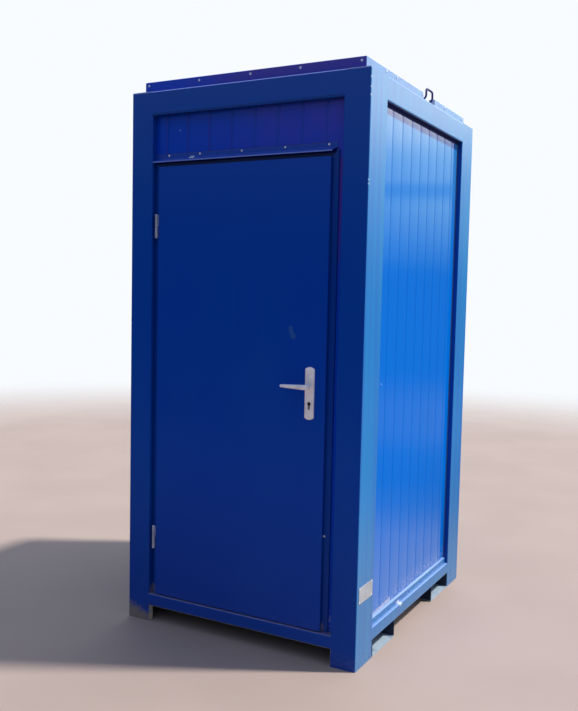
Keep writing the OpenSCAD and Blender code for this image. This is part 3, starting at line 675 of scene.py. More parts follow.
class CABIN_OT_paint_frame(bpy.types.Operator):
    """Paints the corner posts, the rails and the fork pockets."""

    bl_idname = "cabin.paint_frame"
    bl_label = "Paint the steel frame"

    def execute(self, context):
        paints = context.scene.cabin_paints
        dirt, pale, chalk = tuple(paints.road_dust), tuple(paints.pale_dust), tuple(paints.bare_primer)
        corner_y = (SILL_LOW[1] - FRAME_Y) / 2.0
        marks = [((side * POST_IN_X, corner_y, FLOOR_Z + rise), 0.022, dirt, 0.4)
                 for side in (-1, 1) for rise in (0.0, 0.02)]
        marks += [((x - FRAME_X, -FRAME_Y, z), reach, dirt, 0.65) for x, z, reach in FOOT_DIRT]
        marks += [((FRAME_X, -FRAME_Y + 3.0 * MM, z), 5.0 * MM, chalk, 0.5) for z in EDGE_CHIPS_Z]
        marks += [((FRAME_X - 6.0 * MM, y, FLOOR_Z), 0.015, pale, 0.5) for y in LEDGE_SPOTS_Y]
        posts = ["corner_post_" + place
                 for place in ("front_left", "front_right", "rear_left", "rear_right")]
        rails = [level + side for level in ("top_rail_", "bottom_rail_")
                 for side in ("front", "rear", "left", "right")]
        frame_coat = enamel("frame enamel", paints.frame_blue, (FRAME_X, FRAME_Y), marks, 0.1, 0.12,
                            ledges=True)
        coat(frame_coat, *posts, *rails)
        plate_top = corners("fork_pocket_front")[0][2] + POCKET_PLATE
        pockets = pocket_finish("fork pocket enamel", plate_top)
        coat(pockets, "fork_pocket_front", "fork_pocket_rear")
        return {"FINISHED"}


class CABIN_OT_paint_skin(bpy.types.Operator):
    """Coats the wall panels, the roof, the edgings and the base trims."""

    bl_idname = "cabin.paint_skin"
    bl_label = "Coat the walls and the roof"

    def execute(self, context):
        paints = context.scene.cabin_paints
        pale, chalk = tuple(paints.pale_dust), tuple(paints.bare_primer)
        marks = [((WALL_X, y, FLOOR_Z + rise), 0.014, pale, 0.5) for y, rise in WALL_SMEAR]
        marks += [((WALL_X, *WALL_SPECK), 0.005, pale, 0.4)]
        side = coil_coat("side panel coating", 0, WALL_X, ROOM_X, True, marks)
        coat(side, "left_wall", "right_wall")
        coat(coil_coat("rear panel coating", 1, WALL_Y, ROOM_Y), "rear_wall")
        marks = [((HEADER_SPECK[0], FRONT_WALL_Y, HEADER_SPECK[1]), 0.004, chalk, 0.35)]
        front = coil_coat("front panel coating", 1, -FRONT_WALL_Y, -ROOM_FRONT_Y, False, marks)
        coat(front, "front_wall_over_door", "front_wall_left")
        # Painted shade: a purple darkening of the wall strip beside the lock
        marks = [((POST_IN_X, FRONT_WALL_Y, STRIP_SHADE_Z), 0.5, tuple(paints.strip_shade_purple), 0.4)]
        strip = coil_coat("front strip coating", 1, -FRONT_WALL_Y, -ROOM_FRONT_Y, False, marks)
        coat(strip, "front_wall_right")
        self.paint_trims(paints)
        self.paint_roof(paints)
        return {"FINISHED"}

    def paint_trims(self, paints):
        """The trims at the walls' foot and the flashing over the door."""
        out_x = corners("base_trim_right")[1][0]
        marks = [((out_x, y, FLOOR_Z + 3.0 * MM), 0.014, tuple(paints.pale_dust), 0.5)
                 for y in TRIM_SPOTS_Y]
        trim = enamel("trim enamel", paints.frame_blue, (WALL_X, WALL_Y), marks, FLOOR_Z + 0.05, 0.3,
                      crown=FLOOR_Z + 25.0 * MM)
        coat(trim, "base_trim_left", "base_trim_right", "base_trim_rear")
        low = corners("door_drip_flashing")[0]
        # The flashing's chips: filler and a painted glint, pure white
        marks = [((x, FRONT_WALL_Y - 8.0 * MM, low[2] + 19.0 * MM), 0.010, tuple(paints.chip_filler_and_glint_white), 1.0)
                 for x in FLASHING_CHIPS_X]
        flashing = enamel("flashing enamel", paints.flashing_blue, (FRAME_X, FRAME_Y), marks,
                          lip=(low[1], low[2]))
        coat(flashing, "door_drip_flashing")

    def paint_roof(self, paints):
        """The roof's sheets and the edging round them."""
        edge = corners("roof_edging_right")[1][0]
        far = corners("roof_edging_rear")[1][1]
        front = corners("roof_edging_front")[0][1]
        # Painted reflection: a purple tint towards the front edging's right end
        marks = [((EDGING_REFLECTION_X, front, FRAME_TOP), 0.75, tuple(paints.edging_reflection_purple), 0.6)]
        edging = enamel("roof edging enamel", paints.panel_blue, (edge, far), marks)
        coat(edging, "roof_edging_front", "roof_edging_rear")
        # The paler side blue, partly painted sunlight, reaches 30 mm in from the face, over the end faces
        # too
        side_edging = enamel("side edging enamel", paints.frame_blue, (edge - 30.0 * MM, far))
        coat(side_edging, "roof_edging_left", "roof_edging_right")
        # The dust starts so far up that it lies evenly all over the roof
        high_dust = 30.0
        roof = enamel("roof enamel", paints.faded_blue, (FRAME_X, FRAME_Y), (), high_dust, 0.2, 0.5)
        coat(roof, "roof_deck")


class CABIN_OT_paint_door(bpy.types.Operator):
    """Paints the door leaf and its frame."""

    bl_idname = "cabin.paint_door"
    bl_label = "Paint the door set"

    def execute(self, context):
        paints = context.scene.cabin_paints
        outer = (FRAME_X, FRAME_Y)
        marks = [((x, LEAF_LOW[1], z), 0.014, tuple(paints.scuff_blue), 0.6) for x, z in DOOR_SCUFF]
        coat(enamel("door enamel", paints.door_blue, outer, marks, 0.2, 0.15), "door_leaf")
        marks = [((x, JAMB_LOW[1], FLOOR_Z + 0.02), 0.03, tuple(paints.road_dust), 0.4)
                 for x in (-POST_IN_X, JAMB_RIGHT)]
        marks += [((JAMB_SPECK[0], JAMB_LOW[1], JAMB_SPECK[1]), 0.006, tuple(paints.bare_primer), 0.8)]
        # Painted shade: the jambs get the darker door frame blue
        jambs = enamel("door frame enamel", paints.jamb_shade_blue, outer, marks, 0.2, 0.3)
        coat(jambs, "door_frame_left", "door_frame_right")
        # Painted shade: the head gets the darkest blue, for the shade under the flashing
        coat(enamel("door head enamel", paints.head_shade_blue, outer), "door_frame_head")
        return {"FINISHED"}


class CABIN_OT_finish_metalware(bpy.types.Operator):
    """Gives bare metal finishes to the sill, plates, hinges, lock, levers and eyes."""

    bl_idname = "cabin.finish_metalware"
    bl_label = "Finish the metalware"

    def execute(self, context):
        foot = (DECK_Z + 13.0 * MM, tuple(context.scene.cabin_paints.side_frame_high))
        # Brushed upright and anodised: an even silver sheen with faint upright lines
        nickel = plain_finish("satin anodised aluminium", linear("#fffaff"), 0.36, 0.0, BRUSHED_UP, 0.002)
        # Bright zinc gone chalky outdoors: a soft, slightly blue glint
        zinc = plain_finish("zinc plate", linear("#c6cae4"), 0.42, 0.4)
        # Left as it was drawn: dull streaks along the piece
        aluminium = plain_finish("mill aluminium", linear("#b4b6c4"), 0.38, 0.3, DRAWN_ALONG)
        # Plated steel indoors: a grey that mirrors its surroundings
        steel = plain_finish("zinc lock steel", linear("#9d9ea4"), 0.4, 1.0)
        # Dark enamel on round bar, with the frame's blue brushed over its feet
        eye = plain_finish("eye enamel", linear("#2c2470"), 0.45, foot=foot)
        coat(nickel, "handle_plate_outside", "handle_plate_inside", "lever_outside", "lever_inside")
        coat(steel, "lever_spindle", "lock_faceplate")
        coat(zinc, "hinge_frame_halves", "hinge_door_halves")
        coat(aluminium, "door_sill", "data_plate")
        coat(eye, "lifting_eye_left", "lifting_eye_right")
        return {"FINISHED"}


class CABIN_OT_finish_inside(bpy.types.Operator):
    """Finishes the floor and the ceiling."""

    bl_idname = "cabin.finish_inside"
    bl_label = "Finish the floor and ceiling"

    def execute(self, context):
        lining = tuple(context.scene.cabin_paints.lining_white)
        # Birch board with a phenolic film: brown and matt, with the film's fine weave
        board = plain_finish("film faced board", linear("#5c4a3a"), 0.5, 0.0, BOARD_FILM, 0.05)
        coat(board, "floor_deck")
        # Polyester coating indoors: an even off-white
        coat(plain_finish("ceiling coating", lining, 0.5), "ceiling_panel")
        return {"FINISHED"}


# Fixings

# Where the X, Y and Z of a fixing point when its head faces that side

FACING_FRONT = ((1, 0, 0), (0, 0, 1), (0, -1, 0))
FACING_REAR = ((-1, 0, 0), (0, 0, 1), (0, 1, 0))
FACING_RIGHT = ((0, 1, 0), (0, 0, 1), (1, 0, 0))
FACING_LEFT = ((0, -1, 0), (0, 0, 1), (-1, 0, 0))
FACING_DOWN = ((1, 0, 0), (0, -1, 0), (0, 0, -1))


def rivet(diameter, height):
    """A blind rivet's domed head with the dimple of its mandrel, turned round Z, with its seat at z = 0.

    The dome is z = height * (0.2 + 0.8 sin a / sin 68 deg) at the radius r cos a, from the rim up."""
    radius, sunk = diameter / 2.0, 0.2 * MM
    angle = np.linspace(math.radians(68.0), 0.0, 7)
    rise = height * (0.2 + 0.8 * np.sin(angle) / np.sin(angle[0]))
    dome = np.stack([radius * np.cos(angle), rise], axis=-1)
    dimple = [(0.0, 0.55 * height), (0.14 * radius, 0.55 * height), (0.2 * radius, 0.95 * height)]
    return revolved(np.concatenate([dimple, dome, [(radius, -sunk), (0.0, -sunk)]]), 20)


class CABIN_OT_add_rivets(bpy.types.Operator):
    """Rivets of the roof edging, the door flashing and the data plate."""

    bl_idname = "cabin.add_rivets"
    bl_label = "Add the rivets"

    def execute(self, context):
        sizes = context.scene.cabin_fittings
        # Bare heads, weathered nearly white
        bright = plain_finish("rivet aluminium", linear("#f6f8ff"), 0.3)
        low, high = corners("roof_edging_front")
        face_x, face_y = high[0], -low[1]
        row_z, side_rise = high[2] - 17.0 * MM, 4.0 * MM
        head = rivet(sizes.edging_rivet, 2.6 * MM)
        rows = [
            ("front", [(x, -face_y, row_z) for x in FRONT_RIVETS_X], FACING_FRONT),
            ("rear", [(-x, face_y, row_z) for x in FRONT_RIVETS_X], FACING_REAR),
            ("right", [(face_x, y, row_z + side_rise) for y in SIDE_RIVETS_Y], FACING_RIGHT),
            ("left", [(-face_x, y, row_z + side_rise) for y in SIDE_RIVETS_Y], FACING_LEFT),
        ]
        for side, places, axes in rows:
            piece("edging_rivets_" + side, placed(head, places, axes), "cabin", bright)
        upstand_y = FRONT_WALL_Y - 2.0 * MM
        row_z = corners("door_drip_flashing")[1][2] - 6.0 * MM
        places = [(x, upstand_y, row_z) for x in FLASHING_RIVETS_X]
        shape = placed(rivet(sizes.flashing_rivet, 2.4 * MM), places, FACING_FRONT)
        piece("flashing_rivets", shape, "cabin", bright)
        low, high = corners("data_plate")
        inset = 6.5 * MM
        places = [(high[0], y, z) for y in (low[1] + inset, high[1] - inset)
                  for z in (low[2] + inset, high[2] - inset)]
        shape = placed(rivet(sizes.plate_rivet, 1.6 * MM), places, FACING_RIGHT)
        piece("data_plate_rivets", shape, "cabin", bright)
        return {"FINISHED"}


# Panels, seams and welds


def groove_middles(name, axis, outer):
    """Middles of a panel's grooves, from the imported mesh's corners that lie sunk below its outer face."""
    mesh = frame["nodes"][name].data
    flat = np.empty(3 * len(mesh.vertices))
    mesh.vertices.foreach_get("co", flat)
    points = flat.reshape(-1, 3)
    sunk = np.abs(np.abs(points[:, axis]) - (outer - 10.0 * MM)) < 8.0 * MM
    edges = np.unique(points[sunk, 1 - axis].round(4))
    if not len(edges):
        raise RuntimeError("no grooves were found on " + name)
    groups = np.split(edges, np.flatnonzero(np.diff(edges) > 30.0 * MM) + 1)
    return np.array([(group[0] + group[-1]) / 2.0 for group in groups])


def grooved_panel(name, axis, width, depth):
    """A panel with rolled grooves, as rings of four corners from one end to the other.

    Over a groove the outer face lies depth * (1 + cos(pi t)) / 2 back, for t = -1 to 1."""
    low, high = corners(name)
    sign = 1.0 if low[axis] + high[axis] > 0.0 else -1.0
    outer, inner = (high[axis], low[axis]) if sign > 0.0 else (low[axis], high[axis])
    middles = groove_middles(name, axis, abs(outer))
    t = np.linspace(-1.0, 1.0, 17)
    sunk = np.tile(depth * (1.0 + np.cos(math.pi * t)) / 2.0, len(middles))
    mouths = (middles[:, None] + t * width / 2.0).ravel()
    along = np.concatenate([[low[1 - axis]], mouths, [high[1 - axis]]])
    face = np.concatenate([[outer], outer - sign * sunk, [outer]])
    back = np.full(len(along), inner)
    rings = np.empty((len(along), 4, 3))
    rings[:, :, 1 - axis] = along[:, None]
    rings[:, :, axis] = np.stack([face, face, back, back], axis=-1)
    rings[:, :, 2] = (low[2], high[2], high[2], low[2])
    return capped(rings)


class CABIN_OT_shape_panels(bpy.types.Operator):
    """The grooved panels with the soft rolled edges of their grooves, in place of the plain packed ones."""

    bl_idname = "cabin.shape_panels"
    bl_label = "Shape the grooved panels"

    def execute(self, context):
        sizes = context.scene.cabin_fittings
        panels = [("left_wall", 0, "side", 1.0), ("right_wall", 0, "side", 1.0),
                  ("rear_wall", 1, "rear", 1.0), ("front_wall_over_door", 1, "front", 2.0)]
        for name, axis, side, deeper in panels:
            finish = bpy.data.materials[side + " panel coating"]
            shape = grooved_panel(name, axis, sizes.groove_width, deeper * sizes.groove_depth)
            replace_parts(piece(name + "_skin", shape, "cabin", finish, 50.0), name)
        return {"FINISHED"}


def beads(runs, radius):
    """Round beads of sealant along straight runs, half sunk in the corner that they close."""
    section = circle(radius, 10)
    shapes = []
    for start, end in runs:
        upward = (1, 0, 0) if abs(end[2] - start[2]) > radius else (0, 0, 1)
        shapes.append(rod(start, end, section, upward))
    return joined(shapes)


def weld(start, end, width):
    """A rippled weld, which swells and shrinks every 3 mm and fades out at its ends.

    Its radius is width / 2 * (1 + 0.12 sin(2 pi s / 3 mm)) * sqrt(1 - (2 t - 1)^8), for t = 0 to 1, with
    s the way from its start."""
    start, end = np.asarray(start, float), np.asarray(end, float)
    ripple = 3.0 * MM
    run = np.linalg.norm(end - start)
    t = np.linspace(0.01, 0.99, max(12, int(run / MM)))
    swell = 1.0 + 0.12 * np.sin(TURN * t * run / ripple)
    radius = width / 2.0 * swell * np.sqrt(1.0 - (2.0 * t - 1.0) ** 8)
    path = start + t[:, None] * (end - start)
    along = (end - start) / run
    return swept(path, np.cross(along, (0, 0, 1)), (0, 0, 1), circle(1.0, 8), radius)


class CABIN_OT_add_sealant(bpy.types.Operator):
    """Sealant round the walls, at the roof edging and over the flashing, and a dark strip over the walls'
    heads as painted shade.
    """

    bl_idname = "cabin.add_sealant"
    bl_label = "Add the sealant"

    def execute(self, context):
        radius = context.scene.cabin_fittings.sealant_bead / 2.0
        # Aged silicone: a matt bead, blue-grey from the dirt of the walls
        sealant = plain_finish("grey sealant", linear("#565a86"), 0.6)
        foot = corners("base_trim_right")[1][2]
        places = [(x * WALL_X, y * POST_IN_Y) for x in (-1, 1) for y in (-1, 1)]
        places += [(x * POST_IN_X, WALL_Y) for x in (-1, 1)]
        runs = [((x, y, foot), (x, y, SOFFIT_Z)) for x, y in places]
        piece("wall_sealant", beads(runs, radius), "cabin", sealant)
        shade_strip_section = mm(*[(-1, -13), (1.6, -13), (1.6, 0.4), (-1, 0.4)])
        ends = [((WALL_X, -POST_IN_Y), (WALL_X, POST_IN_Y)), ((-WALL_X, POST_IN_Y), (-WALL_X, -POST_IN_Y)),
                ((POST_IN_X, WALL_Y), (-POST_IN_X, WALL_Y))]
        shapes = [rod((*start, SOFFIT_Z), (*end, SOFFIT_Z), shade_strip_section) for start, end in ends]
        # Open-cell strip pressed over the wall's head, dark and without a glint: painted shade and a
        # painted dark reflection under the top rail
        shade_strip = plain_finish("closing foam", linear("#101a6c"), 0.8)
        piece("wall_head_tape", joined(shapes), "cabin", shade_strip)
        low, high = corners("roof_edging_front")
        runs = [((-high[0], y, FRAME_TOP), (high[0], y, FRAME_TOP)) for y in (low[1], -low[1])]
        piece("roof_edging_sealant", beads(runs, radius), "cabin", sealant)
        # The same bead under old dust: a dull violet brown
        dark = plain_finish("dusty sealant", linear("#4a4066"), 0.6)
        low, high = corners("door_drip_flashing")
        runs = [((low[0], FRONT_WALL_Y, high[2]), (high[0], FRONT_WALL_Y, high[2]))]
        piece("flashing_sealant", beads(runs, 0.8 * radius), "cabin", dark)
        return {"FINISHED"}


class CABIN_OT_add_welds(bpy.types.Operator):
    """Welds at the feet of the lifting eyes and along the fork pockets."""

    bl_idname = "cabin.add_welds"
    bl_label = "Add the welds"

    def execute(self, context):
        sizes = context.scene.cabin_fittings
        reaches = mm(2.0, 24.0)
        blue = bpy.data.materials["roof edging enamel"]
        for side, sign in (("left", -1.0), ("right", 1.0)):
            low, high = corners("lifting_eye_" + side)
            inner = low[0] if side == "right" else high[0]
            shapes = []
            for y in (low[1], low[1] + sizes.eye_bar, high[1] - sizes.eye_bar, high[1]):
                start, end = [(inner + sign * reach, y, DECK_Z) for reach in reaches]
                shapes.append(weld(start, end, 0.6 * sizes.weld_bead))
            piece("lifting_eye_welds_" + side, joined(shapes), "cabin", blue)
        under = corners("bottom_rail_right")[0][2]
        insets = mm(6.0, 56.0)
        shapes = []
        for pocket in ("fork_pocket_front", "fork_pocket_rear"):
            low, high = corners(pocket)
            for y in (low[1], high[1]):
                for sign in (-1.0, 1.0):
                    start, end = [(sign * (FRAME_X - inset), y, under) for inset in insets]
                    shapes.append(weld(start, end, sizes.weld_bead))
        painted_shade = bpy.data.materials["fork pocket enamel"]
        piece("fork_pocket_welds", joined(shapes), "cabin", painted_shade)
        return {"FINISHED"}


class CABIN_OT_add_ribs(bpy.types.Operator):
    """Ribs of the door's tread, the lapped seams of the roof and the caps on the cut ends of its edging."""

    bl_idname = "cabin.add_ribs"
    bl_label = "Add the tread ribs, roof seams and edging caps"

    def execute(self, context):
        low, high = corners("door_sill")
        inset = 4.0 * MM
        rib = circle(1.3 * MM, 8)
        rows = np.linspace(low[1] + 2.0 * inset, high[1] - 2.0 * inset, 5)
        shapes = [rod((low[0] + inset, y, high[2]), (high[0] - inset, y, high[2]), rib) for y in rows]
        tread = bpy.data.materials["mill aluminium"]
        piece("door_sill_ribs", joined(shapes), "cabin", tread)
        low, high = corners("roof_deck")
        seam = mm(*[(-14, -1), (14, -1), (14, 1.2), (5, 1.6), (3, 3.0), (-3, 3.0), (-5, 1.6), (-14, 1.2)])
        seam_y = (high[1] - low[1]) / 6.0
        inset = 30.0 * MM
        shapes = [rod((low[0] + inset, y, high[2]), (high[0] - inset, y, high[2]), seam)
                  for y in (-seam_y, seam_y)]
        piece("roof_seams", joined(shapes), "cabin", bpy.data.materials["roof enamel"])
        # Primer on the cut ends: flat and nearly white
        primer = plain_finish("bare primer", tuple(context.scene.cabin_paints.bare_primer), 0.5)
        shapes = [cap for side in ("left", "right") for cap in edging_caps(side)]
        piece("roof_edging_caps", joined(shapes), "cabin", primer)
        return {"FINISHED"}


def edging_caps(side):
    """Thin plates in the two cut ends of a side's roof edging, before and behind the lifting eye."""
    low, high = corners("roof_edging_" + side)
    eye_low, eye_high = corners("lifting_eye_" + side)
    middle, half = (low + high) / 2.0, (high - low) / 2.0
    plate = 0.985 * rectangle(half[0], half[2])
    proud, deep = mm(0.5, 1.2)
    ends = [(eye_low[1] - EYE_GAP, 1.0), (eye_high[1] + EYE_GAP, -1.0)]
    spans = [(y - inward * proud, y + inward * deep) for y, inward in ends]
    return [rod((middle[0], start, middle[2]), (middle[0], end, middle[2]), plate) for start, end in spans]


# Door furniture


def lever_handle(side):
    """A lever on its axis: a round neck, a tight elbow and a long tapering grip with a round tip.

    The path runs straight out, round a quarter circle, then along -X; the radius follows the path."""
    face, sign = (0, -1.0) if side == "outside" else (1, 1.0)
    outward = np.array([0.0, sign, 0.0])
    seat = corners("handle_plate_" + side)[face][1]
    ends = corners("lever_" + side)
    neck_r, grip_r, tip_r = mm(9.0, 11.0, 6.5)
    bend, sunk, swell, fade = mm(12.5, 2.0, 1.5, 2.5)
    far = abs(ends[face][1] - seat) - grip_r
    grip_end = LEVER_AXIS[0] - ends[0][0] - tip_r
    neck = np.linspace(-sunk, far - bend, 5)
    angle = np.linspace(0.0, math.pi / 2.0, 11)[1:]
    grip = np.linspace(bend, grip_end, 14)[1:]
    tip = np.linspace(0.0, math.pi / 2.0, 8)[1:]
    straight = len(grip) + len(tip)
    out = np.concatenate([neck, far - bend + bend * np.sin(angle), np.full(straight, far)])
    rounded = grip_end + tip_r * np.sin(tip)
    aside = np.concatenate([np.zeros(len(neck)), bend - bend * np.cos(angle), grip, rounded])
    turned = np.concatenate([np.zeros(len(neck)), angle, np.full(straight, math.pi / 2.0)])
    radius = np.concatenate([
        neck_r + swell * np.exp(-(neck + sunk) / fade),
        neck_r + (grip_r - neck_r) * (angle / angle[-1]) ** 0.6,
        grip_r + (tip_r - grip_r) * (grip - bend) / (grip_end - bend),
        tip_r * np.cos(tip)])
    along = np.array([-1.0, 0.0, 0.0])
    origin = np.array([LEVER_AXIS[0], seat, LEVER_AXIS[2]])
    path = origin + out[:, None] * outward + aside[:, None] * along
    across = np.cos(turned)[:, None] * along - np.sin(turned)[:, None] * outward
    return swept(path, across, (0.0, 0.0, 1.0), circle(1.0, 28), radius)


class CABIN_OT_add_levers(bpy.types.Operator):
    """The two lever handles and the collars that they turn in."""

    bl_idname = "cabin.add_levers"
    bl_label = "Add the levers"

    def execute(self, context):
        nickel = bpy.data.materials["satin anodised aluminium"]
        for name, side in (("lever_outside", "outside"), ("lever_inside", "inside")):
            made = piece(name + "_handle", lever_handle(side), "lever", nickel, 50.0)
            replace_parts(made, name)
        profile = mm(*[(9.6, -0.5), (12.6, -0.5), (12.6, 1.2), (12.0, 1.9),
                       (10.4, 2.1), (9.6, 1.6), (9.6, -0.5)])
        collar = revolved(profile, 32)
        for side, axes, face in (("outside", FACING_FRONT, 0), ("inside", FACING_REAR, 1)):
            seat = corners("handle_plate_" + side)[face][1]
            shape = placed(collar, [(LEVER_AXIS[0], seat, LEVER_AXIS[2])], axes)
            piece("lever_collar_" + side, shape, "door", nickel)
        return {"FINISHED"}


def keyhole(radius, slot, height, steps=20):
    """Outline of a profile cylinder's hole: a circle and a round-ended slot below it, as (u, v).

    The circle is (r cos a, r sin a), and the slot's half circle has its middle at r - height + slot / 2."""
    open_half = math.asin(slot / 2.0 / radius)
    round_part = np.linspace(-math.pi / 2.0 + open_half, 1.5 * math.pi - open_half, steps)
    foot = np.linspace(0.0, -math.pi, 9)
    low = radius - height + slot / 2.0
    circle_part = radius * np.stack([np.cos(round_part), np.sin(round_part)], axis=-1)
    slot_part = np.stack([slot / 2.0 * np.cos(foot), low + slot / 2.0 * np.sin(foot)], axis=-1)
    return np.concatenate([circle_part, slot_part[::-1]])


def lock_lining():
    """The lock case round the keyhole: a wall between two outlines, from face to face of the leaf.

    Its rings run along the inner outline, the outer one and back, so that the wall closes on itself."""
    outer, inner = keyhole(*mm(8.4, 9.8, 32.8)), keyhole(*mm(7.4, 8.0, 30.6))
    levels = (LEAF_LOW[1] + 1.0 * MM, LEAF_HIGH[1] - 1.0 * MM)
    rings = []
    for ring, end in ((inner, 0), (outer, 0), (outer, 1), (inner, 1), (inner, 0)):
        x, z = LEVER_AXIS[0] + ring[:, 0], LEVER_AXIS[2] - LOCK_DROP + ring[:, 1]
        rings.append(np.stack([x, np.full(len(ring), levels[end]), z], axis=-1))
    return surface(np.stack(rings))


class CABIN_OT_add_lock_parts(bpy.types.Operator):
    """The dark lock case behind the empty keyhole, the latch and the lock's screws."""

    bl_idname = "cabin.add_lock_parts"
    bl_label = "Add the lock parts"

    def execute(self, context):
        steel = bpy.data.materials["zinc lock steel"]
        # Oiled steel deep in the keyhole, nearly black: dark steel, and painted shade inside the hole
        dark = plain_finish("lock case steel", linear("#17181c"), 0.6)
        piece("lock_case_lining", lock_lining(), "door", dark)
        low, high = corners("lock_faceplate")
        middle_y, latch_z = (low[1] + high[1]) / 2.0, LEVER_AXIS[2] - 8.0 * MM
        latch_back, latch_tip = high[0] - mm(9.0, 0.4)
        section = rectangle(*mm(4.6, 9.0))
        latch = rod((latch_back, middle_y, latch_z), (latch_tip, middle_y, latch_z), section)
        piece("latch_tip", latch, "door", steel)
        profile = mm(*[(0.0, 0.1), (0.7, 0.1), (0.9, 0.5), (3.0, 0.5),
                       (3.4, 0.2), (3.4, -0.2), (0.0, -0.2)])
        head = revolved(profile, 20)
        inset = 12.0 * MM
        places = [(high[0], middle_y, z) for z in (low[2] + inset, high[2] - inset)]
        piece("lock_faceplate_screws", placed(head, places, FACING_RIGHT), "door", steel)
        low, high = corners("handle_plate_inside")
        inset = 14.0 * MM
        places = [(LEVER_AXIS[0], high[1], z) for z in (low[2] + inset, high[2] - inset)]
        piece("handle_plate_screws", placed(head, places, FACING_REAR), "door", steel)
        return {"FINISHED"}


class CABIN_OT_add_hinge_caps(bpy.types.Operator):
    """Domed caps on the hinge pins."""

    bl_idname = "cabin.add_hinge_caps"
    bl_label = "Add the hinge caps"

    def execute(self, context):
        zinc = bpy.data.materials["zinc plate"]
        lows = (corners("hinge_frame_halves")[0][2], corners("hinge_door_halves")[1][2] - HINGE_HEIGHT)
        radius, rise, sunk = mm(6.5, 2.4, 0.2)
        angle = np.linspace(0.0, math.pi / 2.0, 7)
        dome = np.stack([radius * np.cos(angle), rise * np.sin(angle)], axis=-1)
        cap = revolved(np.concatenate([[(0.0, -sunk), (radius, -sunk)], dome]), 24)
        tops = [(HINGE_AXIS[0], HINGE_AXIS[1], z + HINGE_HEIGHT) for z in lows]
        piece("hinge_caps_top", placed(cap, tops), "door", zinc)
        feet = [(HINGE_AXIS[0], HINGE_AXIS[1], z) for z in lows]
        piece("hinge_caps_foot", placed(cap, feet, FACING_DOWN), "cabin", zinc)
        return {"FINISHED"}


# Seals


def opening_run(section, level):
    """A section carried up the left of the doorway, over its head and down the right, with mitres.

    Each section point (u, v) lies u outwards from the doorway's edge and v in front of the level."""
    u, v = section[:, 0], section[:, 1]
    foot = np.full(len(u), FLOOR_Z + 1.0 * MM)
    stations = [(JAMB_LEFT - u, foot), (JAMB_LEFT - u, JAMB_HEAD + u),
                (JAMB_RIGHT + u, JAMB_HEAD + u), (JAMB_RIGHT + u, foot)]
    return capped([np.stack([x, level - v, z], axis=-1) for x, z in stations])


class CABIN_OT_add_seals(bpy.types.Operator):
    """Rubber seals of the door, on the stop of its frame and behind the leaf's lap."""

    bl_idname = "cabin.add_seals"
    bl_label = "Add the door seals"

    def execute(self, context):
        # Extruded rubber: black, with a faint sheen on its bulb
        rubber = plain_finish("seal rubber", linear("#14151a"), 0.6)
        radius = context.scene.cabin_fittings.seal_bulb / 2.0
        bulb = circle(radius, 14) + np.array([-7.0 * MM, radius])
        piece("door_stop_seal", opening_run(bulb, SILL_LOW[1]), "cabin", rubber)
        strip = mm(*[(2.0, 0.0), (9.0, 0.0), (8.0, 3.4), (5.5, 4.5), (3.0, 3.4)])
        piece("door_lap_seal", opening_run(strip, JAMB_LOW[1]), "cabin", rubber)
        return {"FINISHED"}


# Stage

# Light of each side of the sky by elevation in degrees, as linear red, green and blue

SUNNY_SKY = [
    (-90.0, (0.50, 0.46, 0.40)), (-19.0, (0.72, 0.64, 0.40)), (-16.0, (0.46, 0.40, 0.28)),
    (-14.2, (0.15, 0.13, 0.10)), (-12.4, (0.05, 0.04, 0.04)), (-10.6, (0.07, 0.06, 0.06)),
    (-9.2, (0.17, 0.15, 0.12)), (-7.4, (0.18, 0.15, 0.12)), (-5.2, (0.04, 0.04, 0.05)),
    (1.6, (0.05, 0.06, 0.07)), (3.6, (0.24, 0.40, 0.42)), (6.1, (0.54, 0.84, 0.86)),
    (6.7, (0.22, 0.44, 0.80)), (7.2, (0.22, 0.44, 0.88)), (7.7, (0.60, 0.87, 1.10)),
    (8.4, (0.61, 0.93, 1.22)), (9.4, (0.86, 1.20, 1.40)), (10.4, (1.55, 1.80, 1.70)),
    (13.0, (3.00, 3.10, 2.70)), (22.0, (2.30, 2.40, 2.30)), (40.0, (0.75, 0.90, 1.15)),
    (90.0, (0.50, 0.64, 1.00))]
SHADY_SKY = [
    (-90.0, (0.14, 0.13, 0.14)), (-22.0, (0.08, 0.07, 0.07)), (-14.0, (0.03, 0.03, 0.03)),
    (-6.0, (0.01, 0.01, 0.01)), (4.0, (0.02, 0.02, 0.03)), (8.0, (0.07, 0.12, 0.17)),
    (13.0, (0.18, 0.27, 0.36)), (30.0, (0.38, 0.46, 0.60)), (90.0, (0.50, 0.64, 1.00))]

# Linear colours of the backdrop and the key light, and the floor's reach and fade in metres from its middle

BACKDROP = (0.94, 0.97, 1.0, 1.0)
KEY_TINT = (1.0, 0.98, 0.92)
SENSOR_MM = 36.0
FLOOR_REACH = 14.0
FLOOR_FADE = (5.5, 11.0)


def sky_ramp(tree, height, stops):
    """One side of the sky by elevation: a ramp of colours below 1, and the strength that scales them."""
    brightest = max(max(colour) for angle, colour in stops)
    ramp = node(tree, "ValToRGB", {0: height})
    elements = ramp.node.color_ramp.elements
    for place, (angle, colour) in enumerate(stops):
        position = (math.sin(math.radians(angle)) + 1.0) / 2.0
        element = elements[place] if place < 2 else elements.new(position)
        element.position = position
        element.color = (*[value / brightest for value in colour], 1.0)
    return node(tree, "Background", {0: ramp, 1: brightest})


